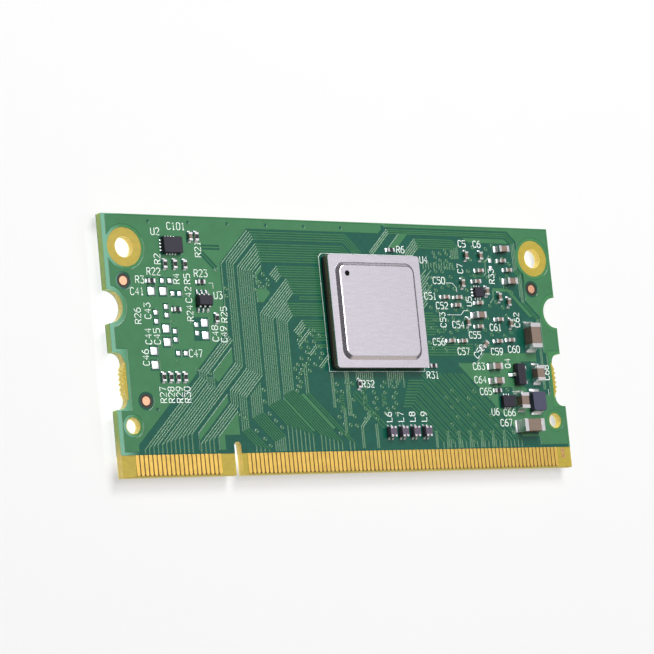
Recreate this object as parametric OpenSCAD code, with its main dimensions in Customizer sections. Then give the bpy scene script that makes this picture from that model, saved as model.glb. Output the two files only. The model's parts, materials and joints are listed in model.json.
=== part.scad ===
// System on module: a plug-in circuit board with a processor under a stepped metal heat spreader.
// The board lies flat, front face up, on the two packages that are soldered to its back face.
// X runs along the contact edge, Y from the contact edge to the top edge, Z up. Millimetres.

/* [Board] */
// Length of the board along the contact edge
board_length = 67.6; // [66:0.1:72]
// Width of the board from the contact edge to the top edge
board_width = 31; // [30:0.25:36]
// Thickness of the bare laminate
board_thickness = 1; // [0.8:0.05:1.6]
// Thickness of the solder mask on each face
mask_thickness = 0.03; // [0.02:0.005:0.06]
// Chamfer along both rims of the contact edge
edge_chamfer = 0.12; // [0.05:0.01:0.2]

/* [Slots and notches] */
// Distance of the key slot from the left end
key_slot_x = 16.25; // [15:0.05:18]
// Width of the key slot
key_slot_width = 1; // [0.8:0.1:1.6]
// Depth of the key slot
key_slot_depth = 4; // [3:0.1:5]
// Radius of the half-round latch notch in each end
latch_radius = 2; // [1.6:0.1:2.4]
// Height of the latch notches above the contact edge
latch_y = 20; // [18.5:0.25:21.5]
// Height of the middle of the breakout recesses above the contact edge
breakout_y = 11.25; // [10.8:0.05:11.8]
// Length of the breakout recesses
breakout_length = 6.75; // [6.4:0.05:7.2]
// Depth of the round lobes at the ends of each breakout recess
breakout_depth = 1.5; // [1.3:0.05:1.7]
// Radius of those lobes
breakout_radius = 1.15; // [1:0.05:1.25]
// Depth at which the tab between the lobes broke off
tab_depth = 1.1; // [0.9:0.05:1.2]
// Radius of the perforations along the broken tab
perforation_radius = 0.2; // [0.12:0.02:0.26]
// Spacing of those perforations
perforation_pitch = 0.6; // [0.55:0.05:0.8]

/* [Holes] */
// Diameter of the two mounting holes
mounting_hole = 2.5; // [2:0.1:3]
// Distance of the mounting holes from the ends
mounting_inset_x = 2.9; // [2.6:0.05:3.4]
// Distance of the mounting holes from the top edge
mounting_inset_y = 3.95; // [3.2:0.05:4.4]
// Diameter of the bare laminate ring round each mounting hole
mounting_land = 4.7; // [4:0.1:5]
// Diameter of the two locating holes
locating_hole = 1.8; // [1.4:0.1:2.2]
// Distance of the locating holes from the ends
locating_inset_x = 2; // [1.7:0.05:2.4]
// Height of the locating holes above the contact edge
locating_y = 6; // [5.4:0.05:6.4]
// Clearance of the mask round the locating holes
locating_mask_gap = 0.25; // [0.1:0.05:0.4]

/* [Contacts] */
// Spacing of the contacts
contact_pitch = 0.6; // [0.5:0.05:0.8]
// Gap between neighbouring contacts
contact_gap = 0.15; // [0.1:0.01:0.25]
// Height of the top of the contacts above the contact edge
contact_top_y = 2.6; // [2:0.1:3]
// Distance from the chamfer to the tip of a contact
contact_tip_gap = 0.04; // [0.02:0.01:0.2]
// Width of the narrowed tip of a contact
contact_tip_width = 0.24; // [0.15:0.01:0.3]
// Length of the taper to that tip
contact_taper = 0.2; // [0.1:0.05:0.4]
// Thickness of the gold plated copper
contact_thickness = 0.05; // [0.03:0.01:0.1]
// Distance of the first contact of the short row from the left end
short_row_margin = 2.15; // [1.5:0.05:3]
// Distance from the key slot to the last contact of the short row
short_row_key_gap = 2.7; // [2:0.05:3.5]
// Distance from the key slot to the first contact of the long row
long_row_key_gap = 1.5; // [1.2:0.05:2.5]
// Distance of the last contact of the long row from the right end
long_row_margin = 2.45; // [2:0.05:3]

/* [Fiducials] */
// Diameter of the fiducial targets
fiducial_diameter = 1.05; // [0.8:0.05:1.4]
// Width of the bare ring round each target
fiducial_ring = 0.35; // [0.2:0.05:0.5]
// Thickness of the copper targets
fiducial_thickness = 0.03; // [0.02:0.005:0.06]
// Distance of the upper fiducials above the latch notches
fiducial_above_latch = 3.05; // [2.9:0.05:3.3]
// Distance of the upper left fiducial from the left end
fiducial_left_x = 2.35; // [2:0.05:2.8]
// Distance of the upper right fiducial from the right end
fiducial_right_x = 3.6; // [3:0.05:4]

/* [Processor] */
// Distance of the processor's middle to the right of the board's middle
processor_off_centre = 4.2; // [3:0.1:5]
// Height of the processor's middle above the contact edge
processor_y = 19.6; // [18.5:0.1:20.5]
// Side of the processor package
processor_size = 14; // [13:0.25:15]
// Corner radius of the substrate, the mould and the flange
processor_corner = 0.4; // [0.2:0.05:0.8]
// Thickness of the processor's substrate
processor_substrate_thickness = 0.36; // [0.25:0.01:0.5]
// Thickness of the mould under the flange
processor_mould_thickness = 0.54; // [0.45:0.01:0.7]
// Side of the silicon die
die_size = 5.6; // [4:0.1:7]
// Thickness of the silicon die
die_thickness = 0.3; // [0.2:0.01:0.4]
// Sheet thickness of the heat spreader
spreader_thickness = 0.25; // [0.15:0.01:0.3]
// Height of the heat spreader's raised middle above its flange
spreader_rise = 0.42; // [0.3:0.01:0.6]
// Width of the flange round the raised middle
flange_width = 0.95; // [0.7:0.05:1.4]
// Run of the sloping wall of the raised middle
spreader_slope = 0.42; // [0.2:0.02:0.7]
// Corner radius at the top of the raised middle
spreader_corner = 0.9; // [0.6:0.05:1.4]
// Gap between the raised middle and the mould inside it
spreader_gap = 0.05; // [0.03:0.01:0.1]
// Diameter of the pin one mark
pin_mark_diameter = 0.7; // [0.5:0.05:1]
// Depth of the pin one mark
pin_mark_depth = 0.06; // [0.03:0.01:0.1]
// Distance of the pin one mark from the edges of the raised top
pin_mark_inset = 1.05; // [0.8:0.05:1.6]

/* [Solder balls] */
// Spacing of the solder balls under the packages
ball_pitch = 1; // [0.8:0.05:1.2]
// Widest diameter of a solder ball
ball_diameter = 0.5; // [0.4:0.02:0.6]
// Diameter of the flats where a ball is wetted
ball_land = 0.36; // [0.25:0.01:0.4]
// Height of a soldered ball
ball_height = 0.3; // [0.2:0.01:0.35]
// Distance from a package's edge to the middle of its outer balls
ball_margin = 0.9; // [0.6:0.05:1.2]

/* [Back packages] */
// Height of the back packages below the mask
back_package_height = 1; // [0.9:0.05:1.4]
// Thickness of their substrates
back_substrate_thickness = 0.2; // [0.15:0.01:0.25]
// Corner radius of the back packages
back_package_corner = 0.2; // [0.1:0.05:0.4]
// Size of the memory package along the board
memory_length = 10; // [9:0.25:12]
// Size of the memory package across the board
memory_width = 11.5; // [10:0.25:13]
// Size of the flash package along the board
flash_length = 11.5; // [10:0.25:12.5]
// Size of the flash package across the board
flash_width = 13; // [11:0.25:14]
// Distance of the flash package's middle from the left end
flash_x = 19; // [18:0.25:21]
// Height of the flash package's middle above the contact edge
flash_y = 16.5; // [15:0.25:18]
// Distance from a back package to the capacitors beside it
back_capacitor_gap = 1.4; // [1.2:0.05:1.8]
// Spacing of the capacitors on the back
back_capacitor_pitch = 2; // [1.6:0.1:2.4]

/* [Chip capacitors] */
// Length of the small chips, capacitors and resistors
small_chip_length = 1; // [0.9:0.05:1.1]
// Width of the small chips
small_chip_width = 0.5; // [0.4:0.02:0.6]
// Height of the small capacitors
small_chip_height = 0.5; // [0.4:0.02:0.6]
// Length of the metal ends of the small chips
small_chip_end = 0.25; // [0.15:0.01:0.32]
// Length of the medium capacitors
medium_chip_length = 1.6; // [1.5:0.05:1.75]
// Width of the medium capacitors
medium_chip_width = 0.8; // [0.7:0.05:0.9]
// Height of the medium capacitors
medium_chip_height = 0.8; // [0.6:0.05:1]
// Length of the metal ends of the medium capacitors
medium_chip_end = 0.35; // [0.25:0.01:0.5]
// Length of the large capacitors
large_chip_length = 2; // [1.9:0.05:2.2]
// Width of the large capacitors
large_chip_width = 1.25; // [1.1:0.05:1.35]
// Height of the large capacitors
large_chip_height = 1.15; // [0.9:0.05:1.3]
// Length of the metal ends of the large capacitors
large_chip_end = 0.45; // [0.3:0.01:0.6]
// Length of the bulk capacitors
bulk_chip_length = 3.2; // [3:0.05:3.4]
// Width of the bulk capacitors
bulk_chip_width = 1.6; // [1.4:0.05:1.75]
// Height of the bulk capacitors
bulk_chip_height = 1.55; // [1.2:0.05:1.7]
// Length of the metal ends of the bulk capacitors
bulk_chip_end = 0.55; // [0.4:0.01:0.7]
// Thickness of the metal round the chip ends
plating = 0.03; // [0.02:0.005:0.05]

/* [Chip resistors] */
// Height of the resistors without their film
resistor_height = 0.33; // [0.25:0.01:0.4]
// Thickness of the dark film on the resistors
film_thickness = 0.02; // [0.01:0.005:0.03]
// Margin of the film along the sides of the resistors
film_margin = 0.03; // [0.01:0.01:0.05]

/* [Solder] */
// Length of the solder in front of the small chips and the leads
small_solder_foot = 0.28; // [0.15:0.01:0.35]
// Length of the solder in front of the larger chips
large_solder_foot = 0.42; // [0.25:0.01:0.5]
// Height of the solder against a chip's end, as a share of the end
solder_climb = 0.6; // [0.4:0.05:0.9]
// Thickness of the solder on the bare pads
bare_pad_thickness = 0.06; // [0.03:0.01:0.1]
// Side of the small bare pads
small_bare_pad = 0.52; // [0.4:0.02:0.6]
// Side of the large bare pads
large_bare_pad = 0.92; // [0.8:0.02:1]

/* [Leads and pads] */
// Thickness of the bent leads
lead_thickness = 0.12; // [0.08:0.01:0.16]
// Length of a lead from the body to its toe
lead_reach = 0.55; // [0.45:0.01:0.65]
// Length of a lead's level shoulder beside the body
lead_shoulder = 0.12; // [0.08:0.01:0.16]
// Length of a lead's foot on the board
lead_foot = 0.28; // [0.2:0.01:0.32]
// Gap under the bodies that stand on leads
lead_standoff = 0.06; // [0.03:0.01:0.1]
// Inward draft of the moulded bodies above and below their leads
mould_draft = 0.07; // [0.03:0.01:0.1]
// Height of the pads on the sides of the leadless chips
side_pad_height = 0.2; // [0.12:0.01:0.25]
// Width of the pads on the sides of the leadless chips
side_pad_width = 0.2; // [0.14:0.01:0.24]
// Spacing of the pads on the sides of the leadless chips
side_pad_pitch = 0.4; // [0.35:0.01:0.45]

/* [Chips] */
// Size of the interface chip along the board
interface_chip_length = 2.6; // [2.4:0.1:2.9]
// Size of the interface chip across the board
interface_chip_width = 1.9; // [1.8:0.1:2.2]
// Height of the interface chip
interface_chip_height = 0.75; // [0.5:0.05:0.9]
// Size of the converter chip along the board
converter_chip_length = 1.4; // [1.3:0.05:1.6]
// Size of the converter chip across the board
converter_chip_width = 1.25; // [1.2:0.05:1.3]
// Height of the converter chip
converter_chip_height = 0.55; // [0.4:0.05:0.8]
// Size of the regulator chip along the board
regulator_chip_length = 2; // [1.8:0.05:2.2]
// Size of the regulator chip across the board
regulator_chip_width = 1.45; // [1.3:0.05:1.6]
// Height of the regulator chip
regulator_chip_height = 0.65; // [0.4:0.05:0.8]
// Size of the switch chip along the board
switch_chip_length = 2; // [1.8:0.05:2.2]
// Size of the switch chip across the board
switch_chip_width = 1.25; // [1.1:0.05:1.4]
// Height of the switch chip
switch_chip_height = 0.95; // [0.8:0.05:1.1]
// Width of the leads of the switch chip
switch_lead_width = 0.24; // [0.18:0.01:0.3]
// Spacing of the leads of the switch chip
switch_lead_pitch = 0.65; // [0.5:0.01:0.7]
// Size of the transistor along the board
transistor_length = 1.3; // [1.2:0.05:1.4]
// Size of the transistor across the board
transistor_width = 2.8; // [2.6:0.05:3]
// Height of the transistor
transistor_height = 1.05; // [0.9:0.05:1.2]
// Width of the leads of the transistor
transistor_lead_width = 0.42; // [0.3:0.02:0.5]
// Spacing of the two leads on one side of the transistor
transistor_lead_pitch = 1.9; // [1.6:0.05:2]

/* [Inductor and chokes] */
// Size of the power inductor along the board
inductor_length = 2.1; // [1.9:0.05:2.3]
// Size of the power inductor across the board
inductor_width = 2.4; // [2.2:0.05:2.5]
// Height of the power inductor
inductor_height = 1; // [0.8:0.05:1.2]
// Corner chamfer of the power inductor
inductor_chamfer = 0.2; // [0.1:0.02:0.3]
// Thickness of the inductor's end plates
inductor_plate = 0.08; // [0.04:0.01:0.12]
// Height of the inductor's end plates
inductor_plate_height = 0.6; // [0.4:0.05:0.8]
// Size of a choke along the board
choke_length = 1; // [0.9:0.05:1.1]
// Size of a choke across the board
choke_width = 1.25; // [1.1:0.05:1.4]
// Height of a choke
choke_height = 0.85; // [0.7:0.05:1]
// Number of chokes in the row
choke_count = 4; // [2:1:4]
// Spacing of the chokes
choke_pitch = 1.82; // [1.7:0.01:2]
// Distance of the first choke from the left end
choke_x = 38.95; // [38:0.05:40]
// Height of the chokes' middle above the contact edge
choke_y = 4.8; // [4.5:0.05:5.2]
// Spacing of a choke's terminals
choke_terminal_pitch = 0.56; // [0.5:0.01:0.6]
// Width of a choke's terminals
choke_terminal_width = 0.3; // [0.2:0.01:0.34]
// Fold of a choke's terminals over its top
choke_terminal_fold = 0.25; // [0.15:0.01:0.35]

/* [Hidden] */
$fn = 48;

// Overlap of cutting shapes past the faces that they cut
cut = 0.5;
// Slack that keeps a row's last contact when its length is a whole number of pitches
row_slack = 0.01;

left_end = -board_length / 2;
right_end = board_length / 2;
contact_edge = -board_width / 2;
top_edge = board_width / 2;

// Levels, from the surface that the back packages rest on
back_z = back_package_height;
board_bottom = back_z + mask_thickness;
board_top = board_bottom + board_thickness;
front_z = board_top + mask_thickness;

// Chip sizes as length, width and height
small_chip = [small_chip_length, small_chip_width, small_chip_height];
medium_chip = [medium_chip_length, medium_chip_width, medium_chip_height];
large_chip = [large_chip_length, large_chip_width, large_chip_height];
bulk_chip = [bulk_chip_length, bulk_chip_width, bulk_chip_height];
resistor_chip = [small_chip_length, small_chip_width, resistor_height];
interface_chip = [interface_chip_length, interface_chip_width, interface_chip_height];
converter_chip = [converter_chip_length, converter_chip_width, converter_chip_height];
regulator_chip = [regulator_chip_length, regulator_chip_width, regulator_chip_height];

// Contact rows
contact_width = contact_pitch - contact_gap;
contact_tip_y = edge_chamfer + contact_tip_gap;
short_row_last = key_slot_x - short_row_key_gap;
short_row_count = floor((short_row_last - short_row_margin) / contact_pitch + row_slack) + 1;
long_row_first = key_slot_x + long_row_key_gap;
long_row_span = board_length - long_row_margin - long_row_first;
long_row_count = floor(long_row_span / contact_pitch + row_slack) + 1;

// Levels of the processor package, from its balls up
processor_substrate_z = front_z + ball_height;
processor_mould_z = processor_substrate_z + processor_substrate_thickness;
flange_z = processor_mould_z + processor_mould_thickness;
raised_base = processor_size - 2 * flange_width;
raised_top = raised_base - 2 * spreader_slope;

// Levels of the back packages, from their balls down
back_substrate_z = back_z - ball_height - back_substrate_thickness;

// Places of parts as [x, y, turn]; x from the named end, y from the contact edge
function from_left(places) = [for (p = places) [left_end + p[0], contact_edge + p[1], p[2]]];
function from_right(places) = [for (p = places) [right_end - p[0], contact_edge + p[1], p[2]]];

// Middle and edges of the processor, from the left end and the contact edge
processor_x = board_length / 2 + processor_off_centre;
processor_right = processor_x + processor_size / 2;
processor_low = processor_y - processor_size / 2;
processor_high = processor_y + processor_size / 2;

fiducial_places = concat(
    from_left([[fiducial_left_x, latch_y + fiducial_above_latch, 0], [4.05, 8.9, 0]]),
    from_right([[fiducial_right_x, latch_y + fiducial_above_latch, 0]])
);

large_pad_places = from_left([
    [6.05, 21.85, 0], [7.7, 21.85, 0], [7.65, 17.4, 0], [7.65, 15.8, 0],
    [5.7, 14.75, 0], [5.7, 13.1, 0], [13.1, 18.15, 0], [13.1, 16.65, 0]
]);
small_pad_places = concat(
    from_left([
        [7.7, 23.1, 0], [8.75, 23.1, 0], [9, 21.6, 0], [9.95, 21.6, 0], [6.4, 19.3, 0], [6.4, 18.25, 0],
        [7.9, 20, 0], [7.9, 19, 0], [8.85, 17.1, 0], [8.85, 16.1, 0], [9.05, 14.5, 0], [10.1, 14.5, 0],
        [11.95, 17.9, 0], [11.95, 16.9, 0]
    ]),
    from_right([[10, 26.6, 0], [10, 25.65, 0]])
);

interface_chip_places = from_left([[9.3, 27.35, 0]]);
switch_chip_places = from_left([[13.1, 20.75, 0]]);
converter_chip_places = from_right([[12.6, 22.45, 0]]);
regulator_chip_places = from_right([[9.65, 8.5, 0]]);
transistor_places = from_right([[7.5, 11.9, 0]]);
inductor_places = from_right([[5, 8.4, 0]]);
choke_places = from_left([for (i = [0 : choke_count - 1]) [choke_x + i * choke_pitch, choke_y, 0]]);

bulk_places = from_right([[4.85, 16.8, 90], [6.7, 5.3, 0]]);
large_places = from_right([[4.4, 12, 90], [7.45, 8.5, 90]]);
medium_places = from_right([
    [8, 28.1, 0], [7.15, 23.95, 0], [12.85, 19.5, 0], [11.1, 12.95, 0], [11.1, 11.1, 0]
]);
small_places = concat(
    from_left([[12.05, 28.45, 90]]),
    from_right([
        [8.2, 26.6, 0], [7.35, 25.4, 0], [12, 25.25, 0], [12.65, 23.85, 0], [12.65, 21.1, 0],
        [17.95, 21.75, 0], [15.95, 21.75, 0], [16.25, 20.75, 0], [13, 18.05, 0], [9.6, 19, 0],
        [17.75, 16.2, 0], [15.8, 16.2, 0], [10.1, 16.2, 0], [8.1, 16.35, 0], [12.35, 15.75, 45],
        [14, 27.15, 90], [11.65, 27.15, 90], [15, 23.55, 90], [11.2, 22.6, 90],
        [9.2, 21.9, 90], [7.8, 21.25, 90], [14.75, 18.6, 90], [7.8, 18.5, 90]
    ])
);
resistor_places = concat(
    from_left([
        [6.1, 23.05, 0], [13.1, 23.05, 0], [9.35, 19.7, 0], [13, 28.5, 90],
        [8.2, 25.1, 90], [9.6, 25.1, 90], [11, 25.1, 90], [14.85, 18.7, 90],
        [6.65, 11.65, 90], [7.65, 11.65, 90], [8.65, 11.65, 90], [9.65, 11.65, 90],
        [processor_x + 3.8, processor_high + 1, 0],
        [processor_right + 1.6, processor_low + 0.45, 0],
        [processor_x - 3.1, processor_low - 1.8, 90]
    ]),
    from_right([[11, 9.9, 0]])
);

// Capacitors of the back, in rows above and below the memory and beside the flash
memory_row = [for (i = [-2 : 2]) processor_x + i * back_capacitor_pitch];
flash_column = [for (i = [-2 : 2]) flash_y + i * back_capacitor_pitch];
memory_row_dy = memory_width / 2 + back_capacitor_gap;
flash_column_dx = flash_length / 2 + back_capacitor_gap;
back_capacitor_places = from_left(concat(
    [for (x = memory_row, side = [-1, 1]) [x, processor_y + side * memory_row_dy, 90]],
    [for (y = flash_column, side = [-1, 1]) [flash_x + side * flash_column_dx, y, 0]]
));

// Repeats its children at each place on the front face
module on_front(places) {
    for (p = places)
        translate([p[0], p[1], front_z])
            rotate(p[2])
                children();
}

// Repeats its children at each place on the back face, upside down
module on_back(places) {
    for (p = places)
        translate([p[0], p[1], back_z])
            rotate([180, 0, p[2]])
                children();
}

// Square with round corners, drawn from its middle
module rounded_square(length, width, radius) {
    square([length - 2 * radius, width], center = true);
    square([length, width - 2 * radius], center = true);
    for (x = [-1, 1], y = [-1, 1])
        translate([x * (length / 2 - radius), y * (width / 2 - radius)])
            circle(radius);
}

// Plate with round corners that starts at the given level
module package_slab(length, width, radius, z, thickness) {
    translate([0, 0, z])
        linear_extrude(thickness)
            rounded_square(length, width, radius);
}

// Outline of one breakout recess in the left end: two round lobes and the perforated tab between them
module breakout_recess() {
    lobe_dy = breakout_length / 2 - breakout_radius;
    lobe_x = breakout_depth - breakout_radius;
    tab_half = lobe_dy - sqrt(breakout_radius ^ 2 - (tab_depth - lobe_x) ^ 2);
    perforations = floor(tab_half / perforation_pitch);
    translate([left_end, contact_edge + breakout_y]) {
        translate([-cut, -lobe_dy])
            square([cut + tab_depth, 2 * lobe_dy]);
        for (side = [-1, 1]) {
            translate([lobe_x, side * lobe_dy])
                circle(breakout_radius);
            translate([-cut, side * lobe_dy - breakout_radius])
                square([cut + lobe_x, 2 * breakout_radius]);
        }
        for (i = [-perforations : perforations])
            translate([tab_depth, i * perforation_pitch])
                circle(perforation_radius);
    }
}

// Outline of the board with its slot, notches and recesses, without the holes
module board_outline() {
    difference() {
        square([board_length, board_width], center = true);
        translate([left_end + key_slot_x, contact_edge + key_slot_depth - key_slot_width / 2])
            circle(d = key_slot_width);
        translate([left_end + key_slot_x - key_slot_width / 2, contact_edge - cut])
            square([key_slot_width, key_slot_depth - key_slot_width / 2 + cut]);
        for (end = [left_end, right_end])
            translate([end, contact_edge + latch_y])
                circle(latch_radius);
        breakout_recess();
        mirror([1, 0])
            breakout_recess();
    }
}

// Repeats its children at the two mounting holes
module at_mounting_holes() {
    for (side = [-1, 1])
        translate([side * (right_end - mounting_inset_x), top_edge - mounting_inset_y])
            children();
}

// Repeats its children at the two locating holes
module at_locating_holes() {
    for (side = [-1, 1])
        translate([side * (right_end - locating_inset_x), contact_edge + locating_y])
            children();
}

// Outline of the mask that both faces share: it stops at the contacts, the holes and the broken tabs
module mask_outline() {
    tab_strip = breakout_depth + perforation_radius;
    tab_length = breakout_length - 2 * breakout_radius;
    difference() {
        board_outline();
        translate([left_end - cut, contact_edge - cut])
            square([board_length + 2 * cut, contact_top_y + cut]);
        at_mounting_holes()
            circle(d = mounting_land);
        at_locating_holes()
            circle(d = locating_hole + 2 * locating_mask_gap);
        for (side = [-1, 1])
            translate([side * right_end, contact_edge + breakout_y])
                square([2 * tab_strip, tab_length], center = true);
    }
}

// Triangular bar that takes the chamfer off one rim of the contact edge
module rim_cutter(z) {
    translate([left_end - cut, contact_edge, z])
        rotate([90, 0, 90])
            linear_extrude(board_length + 2 * cut)
                polygon([[-edge_chamfer, 0], [0, -edge_chamfer], [edge_chamfer, 0], [0, edge_chamfer]]);
}

// Outline of one contact with its tip on the origin, towards -Y
module contact_outline() {
    length = contact_top_y - contact_tip_y;
    half = contact_width / 2;
    tip = contact_tip_width / 2;
    polygon([
        [-tip, 0], [tip, 0], [half, contact_taper],
        [half, length], [-half, length], [-half, contact_taper]
    ]);
}

// Row of contacts on one face, from the first contact's distance to the left end
module contact_row(first, count, z) {
    for (i = [0 : count - 1])
        translate([left_end + first + i * contact_pitch, contact_edge + contact_tip_y, z])
            linear_extrude(contact_thickness)
                contact_outline();
}

// The two rows, on either face
module short_row(z) {
    first = short_row_last - (short_row_count - 1) * contact_pitch;
    contact_row(first, short_row_count, z);
}
module long_row(z) {
    contact_row(long_row_first, long_row_count, z);
}

// Barrel-shaped soldered ball
module solder_ball() {
    rotate_extrude()
        polygon([
            [0, 0], [ball_land / 2, 0], [ball_diameter / 2, ball_height / 2],
            [ball_land / 2, ball_height], [0, ball_height]
        ]);
}

// Grid of balls that fills a package
module ball_grid(length, width) {
    columns = floor((length - 2 * ball_margin) / ball_pitch + row_slack);
    rows = floor((width - 2 * ball_margin) / ball_pitch + row_slack);
    for (i = [0 : columns], j = [0 : rows])
        translate([(i - columns / 2) * ball_pitch, (j - rows / 2) * ball_pitch])
            solder_ball();
}

// Raised form of the heat spreader, drawn in by a wall on every side
module raised_form(inset, z, height) {
    base = raised_base - 2 * inset;
    top = raised_top - 2 * inset;
    corner = spreader_corner - inset;
    sliver = 0.01;
    translate([0, 0, z])
        hull() {
            linear_extrude(sliver)
                rounded_square(base, base, corner + spreader_slope);
            translate([0, 0, height - sliver])
                linear_extrude(sliver)
                    rounded_square(top, top, corner);
        }
}

// Block on the origin's level, drawn from its middle
module block(size) {
    translate([-size[0] / 2, -size[1] / 2, 0])
        cube(size);
}

// Ceramic of a chip, inside the plating of its ends
module chip_core(size) {
    translate([0, 0, plating])
        block([size[0] - 2 * plating, size[1] - 2 * plating, size[2] - 2 * plating]);
}

// The two plated ends of a chip, as cups round its ceramic
module chip_ends(size, end) {
    for (side = [-1, 1])
        difference() {
            translate([side * (size[0] - end) / 2, 0, 0])
                block([end, size[1], size[2]]);
            chip_core(size);
        }
}

// Solder that runs out from the origin along +X and climbs a wall there, with a hollow face
module fillet(width, foot, climb) {
    step = 30;
    rotate([90, 0, 0])
        linear_extrude(width, center = true)
            polygon(concat(
                [[0, 0]],
                [for (a = [0 : step : 90]) [foot * (1 - sin(a)), climb * (1 - cos(a))]]
            ));
}

// Solder at both ends of a chip
module chip_fillets(size, foot) {
    for (turn = [0, 180])
        rotate(turn)
            translate([size[0] / 2, 0, 0])
                fillet(size[1], foot, solder_climb * size[2]);
}

// Moulded body on leads: a level band that holds the leads, with draft above and below it
module moulded_body(size) {
    low = lead_standoff;
    mid = lead_level(size[2]);
    intersection() {
        rotate([90, 0, 0])
            linear_extrude(size[1], center = true)
                polygon(drafted_profile(size[0] / 2, low, mid, size[2]));
        rotate([90, 0, 90])
            linear_extrude(size[0], center = true)
                polygon(drafted_profile(size[1] / 2, low, mid, size[2]));
    }
}

// Level of the lower face of the leads where they leave a body of the given height
function lead_level(height) = (lead_standoff + height - lead_thickness) / 2;

// Section of a moulded body of the given half width
function drafted_profile(half, low, mid, high) = [
    [-half + mould_draft, low], [half - mould_draft, low], [half, mid], [half, mid + lead_thickness],
    [half - mould_draft, high], [-half + mould_draft, high], [-half, mid + lead_thickness], [-half, mid]
];

// Bent lead that leaves a body at the origin along +X and comes down to the board
module bent_lead(width, height) {
    mid = lead_level(height);
    heel = lead_reach - lead_foot;
    rotate([90, 0, 0])
        linear_extrude(width, center = true)
            polygon([
                [0, mid], [lead_shoulder - lead_thickness / 2, mid], [heel - lead_thickness, 0],
                [lead_reach, 0], [lead_reach, lead_thickness], [heel, lead_thickness],
                [lead_shoulder + lead_thickness / 2, mid + lead_thickness], [0, mid + lead_thickness]
            ]);
}

// Repeats its children on the four sides of a leadless chip, turned outwards, at its pads
module at_side_pads(size, along, across) {
    for (turn = [0, 90, 180, 270]) {
        flank = turn % 180 == 0;
        count = flank ? across : along;
        reach = flank ? size[0] / 2 : size[1] / 2;
        for (i = [0 : 1 : count - 1])
            rotate(turn)
                translate([reach, (i - (count - 1) / 2) * side_pad_pitch, 0])
                    children();
    }
}

// Plated pad against the side of a leadless chip
module side_pad() {
    translate([plating / 2, 0, 0])
        block([plating, side_pad_width, side_pad_height]);
}

// Solder in front of such a pad
module side_pad_fillet() {
    translate([plating, 0, 0])
        fillet(side_pad_width, small_solder_foot, solder_climb * side_pad_height);
}

// Numbers of pads along and across each leadless chip
interface_pads = [4, 4];
converter_pads = [3, 3];
regulator_pads = [3, 0];

// Repeats its children at the six leads of the switch chip
module at_switch_leads() {
    for (turn = [90, 270], i = [-1 : 1])
        rotate(turn)
            translate([switch_chip_width / 2, i * switch_lead_pitch, 0])
                children();
}

// Repeats its children at the three leads of the transistor, one on the left and two on the right
module at_transistor_leads() {
    for (lead = [[180, 0], [0, -0.5], [0, 0.5]])
        rotate(lead[0])
            translate([transistor_length / 2, lead[1] * transistor_lead_pitch, 0])
                children();
}

// Repeats its children at the four terminals of a choke
module at_choke_terminals() {
    for (turn = [90, 270], i = [-0.5, 0.5])
        rotate(turn)
            translate([choke_width / 2, i * choke_terminal_pitch, 0])
                children();
}

// Repeats its children at the two end plates of the inductor
module at_inductor_plates() {
    for (turn = [90, 270])
        rotate(turn)
            translate([inductor_width / 2, 0, 0])
                children();
}

// Width of the inductor's plates, between its chamfered corners
inductor_plate_width = inductor_length - 2 * inductor_chamfer;

module circuit_board() {
    color("#c9b64a")
        difference() {
            translate([0, 0, board_bottom])
                linear_extrude(board_thickness)
                    difference() {
                        board_outline();
                        at_mounting_holes()
                            circle(d = mounting_hole);
                        at_locating_holes()
                            circle(d = locating_hole);
                    }
            rim_cutter(board_bottom);
            rim_cutter(board_top);
        }
}

module front_solder_mask() {
    color("#2f7d57")
        translate([0, 0, board_top])
            linear_extrude(mask_thickness)
                difference() {
                    mask_outline();
                    for (p = fiducial_places)
                        translate([p[0], p[1]])
                            circle(d = fiducial_diameter + 2 * fiducial_ring);
                }
}

module back_solder_mask() {
    color("#2f7d57")
        translate([0, 0, back_z])
            linear_extrude(mask_thickness)
                mask_outline();
}

module front_contacts_short() {
    color("#e3b24e")
        short_row(board_top);
}

module front_contacts_long() {
    color("#e3b24e")
        long_row(board_top);
}

module back_contacts_short() {
    color("#e3b24e")
        short_row(board_bottom - contact_thickness);
}

module back_contacts_long() {
    color("#e3b24e")
        long_row(board_bottom - contact_thickness);
}

module fiducial_targets() {
    color("#e09a6a")
        for (p = fiducial_places)
            translate([p[0], p[1], board_top])
                cylinder(d = fiducial_diameter, h = fiducial_thickness);
}

module bare_solder_pads() {
    color("#e6e8ea") {
        on_front(large_pad_places)
            block([large_bare_pad, large_bare_pad, bare_pad_thickness]);
        on_front(small_pad_places)
            block([small_bare_pad, small_bare_pad, bare_pad_thickness]);
    }
}

// Moves its children to the middle of the processor
module at_processor() {
    translate([left_end + processor_x, contact_edge + processor_y])
        children();
}

module processor_balls() {
    color("#b9bcc0")
        at_processor()
            translate([0, 0, front_z])
                ball_grid(processor_size, processor_size);
}

module processor_substrate() {
    color("#2b2a1d")
        at_processor()
            package_slab(processor_size, processor_size, processor_corner,
                processor_substrate_z, processor_substrate_thickness);
}

module processor_die() {
    color("#6d7078")
        at_processor()
            translate([0, 0, processor_mould_z])
                block([die_size, die_size, die_thickness]);
}

module processor_mould() {
    color("#241d18")
        at_processor()
            difference() {
                union() {
                    package_slab(processor_size, processor_size, processor_corner,
                        processor_mould_z, processor_mould_thickness);
                    raised_form(spreader_thickness + spreader_gap, flange_z, spreader_rise - spreader_gap);
                }
                translate([0, 0, processor_mould_z])
                    block([die_size, die_size, die_thickness]);
            }
}

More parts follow.
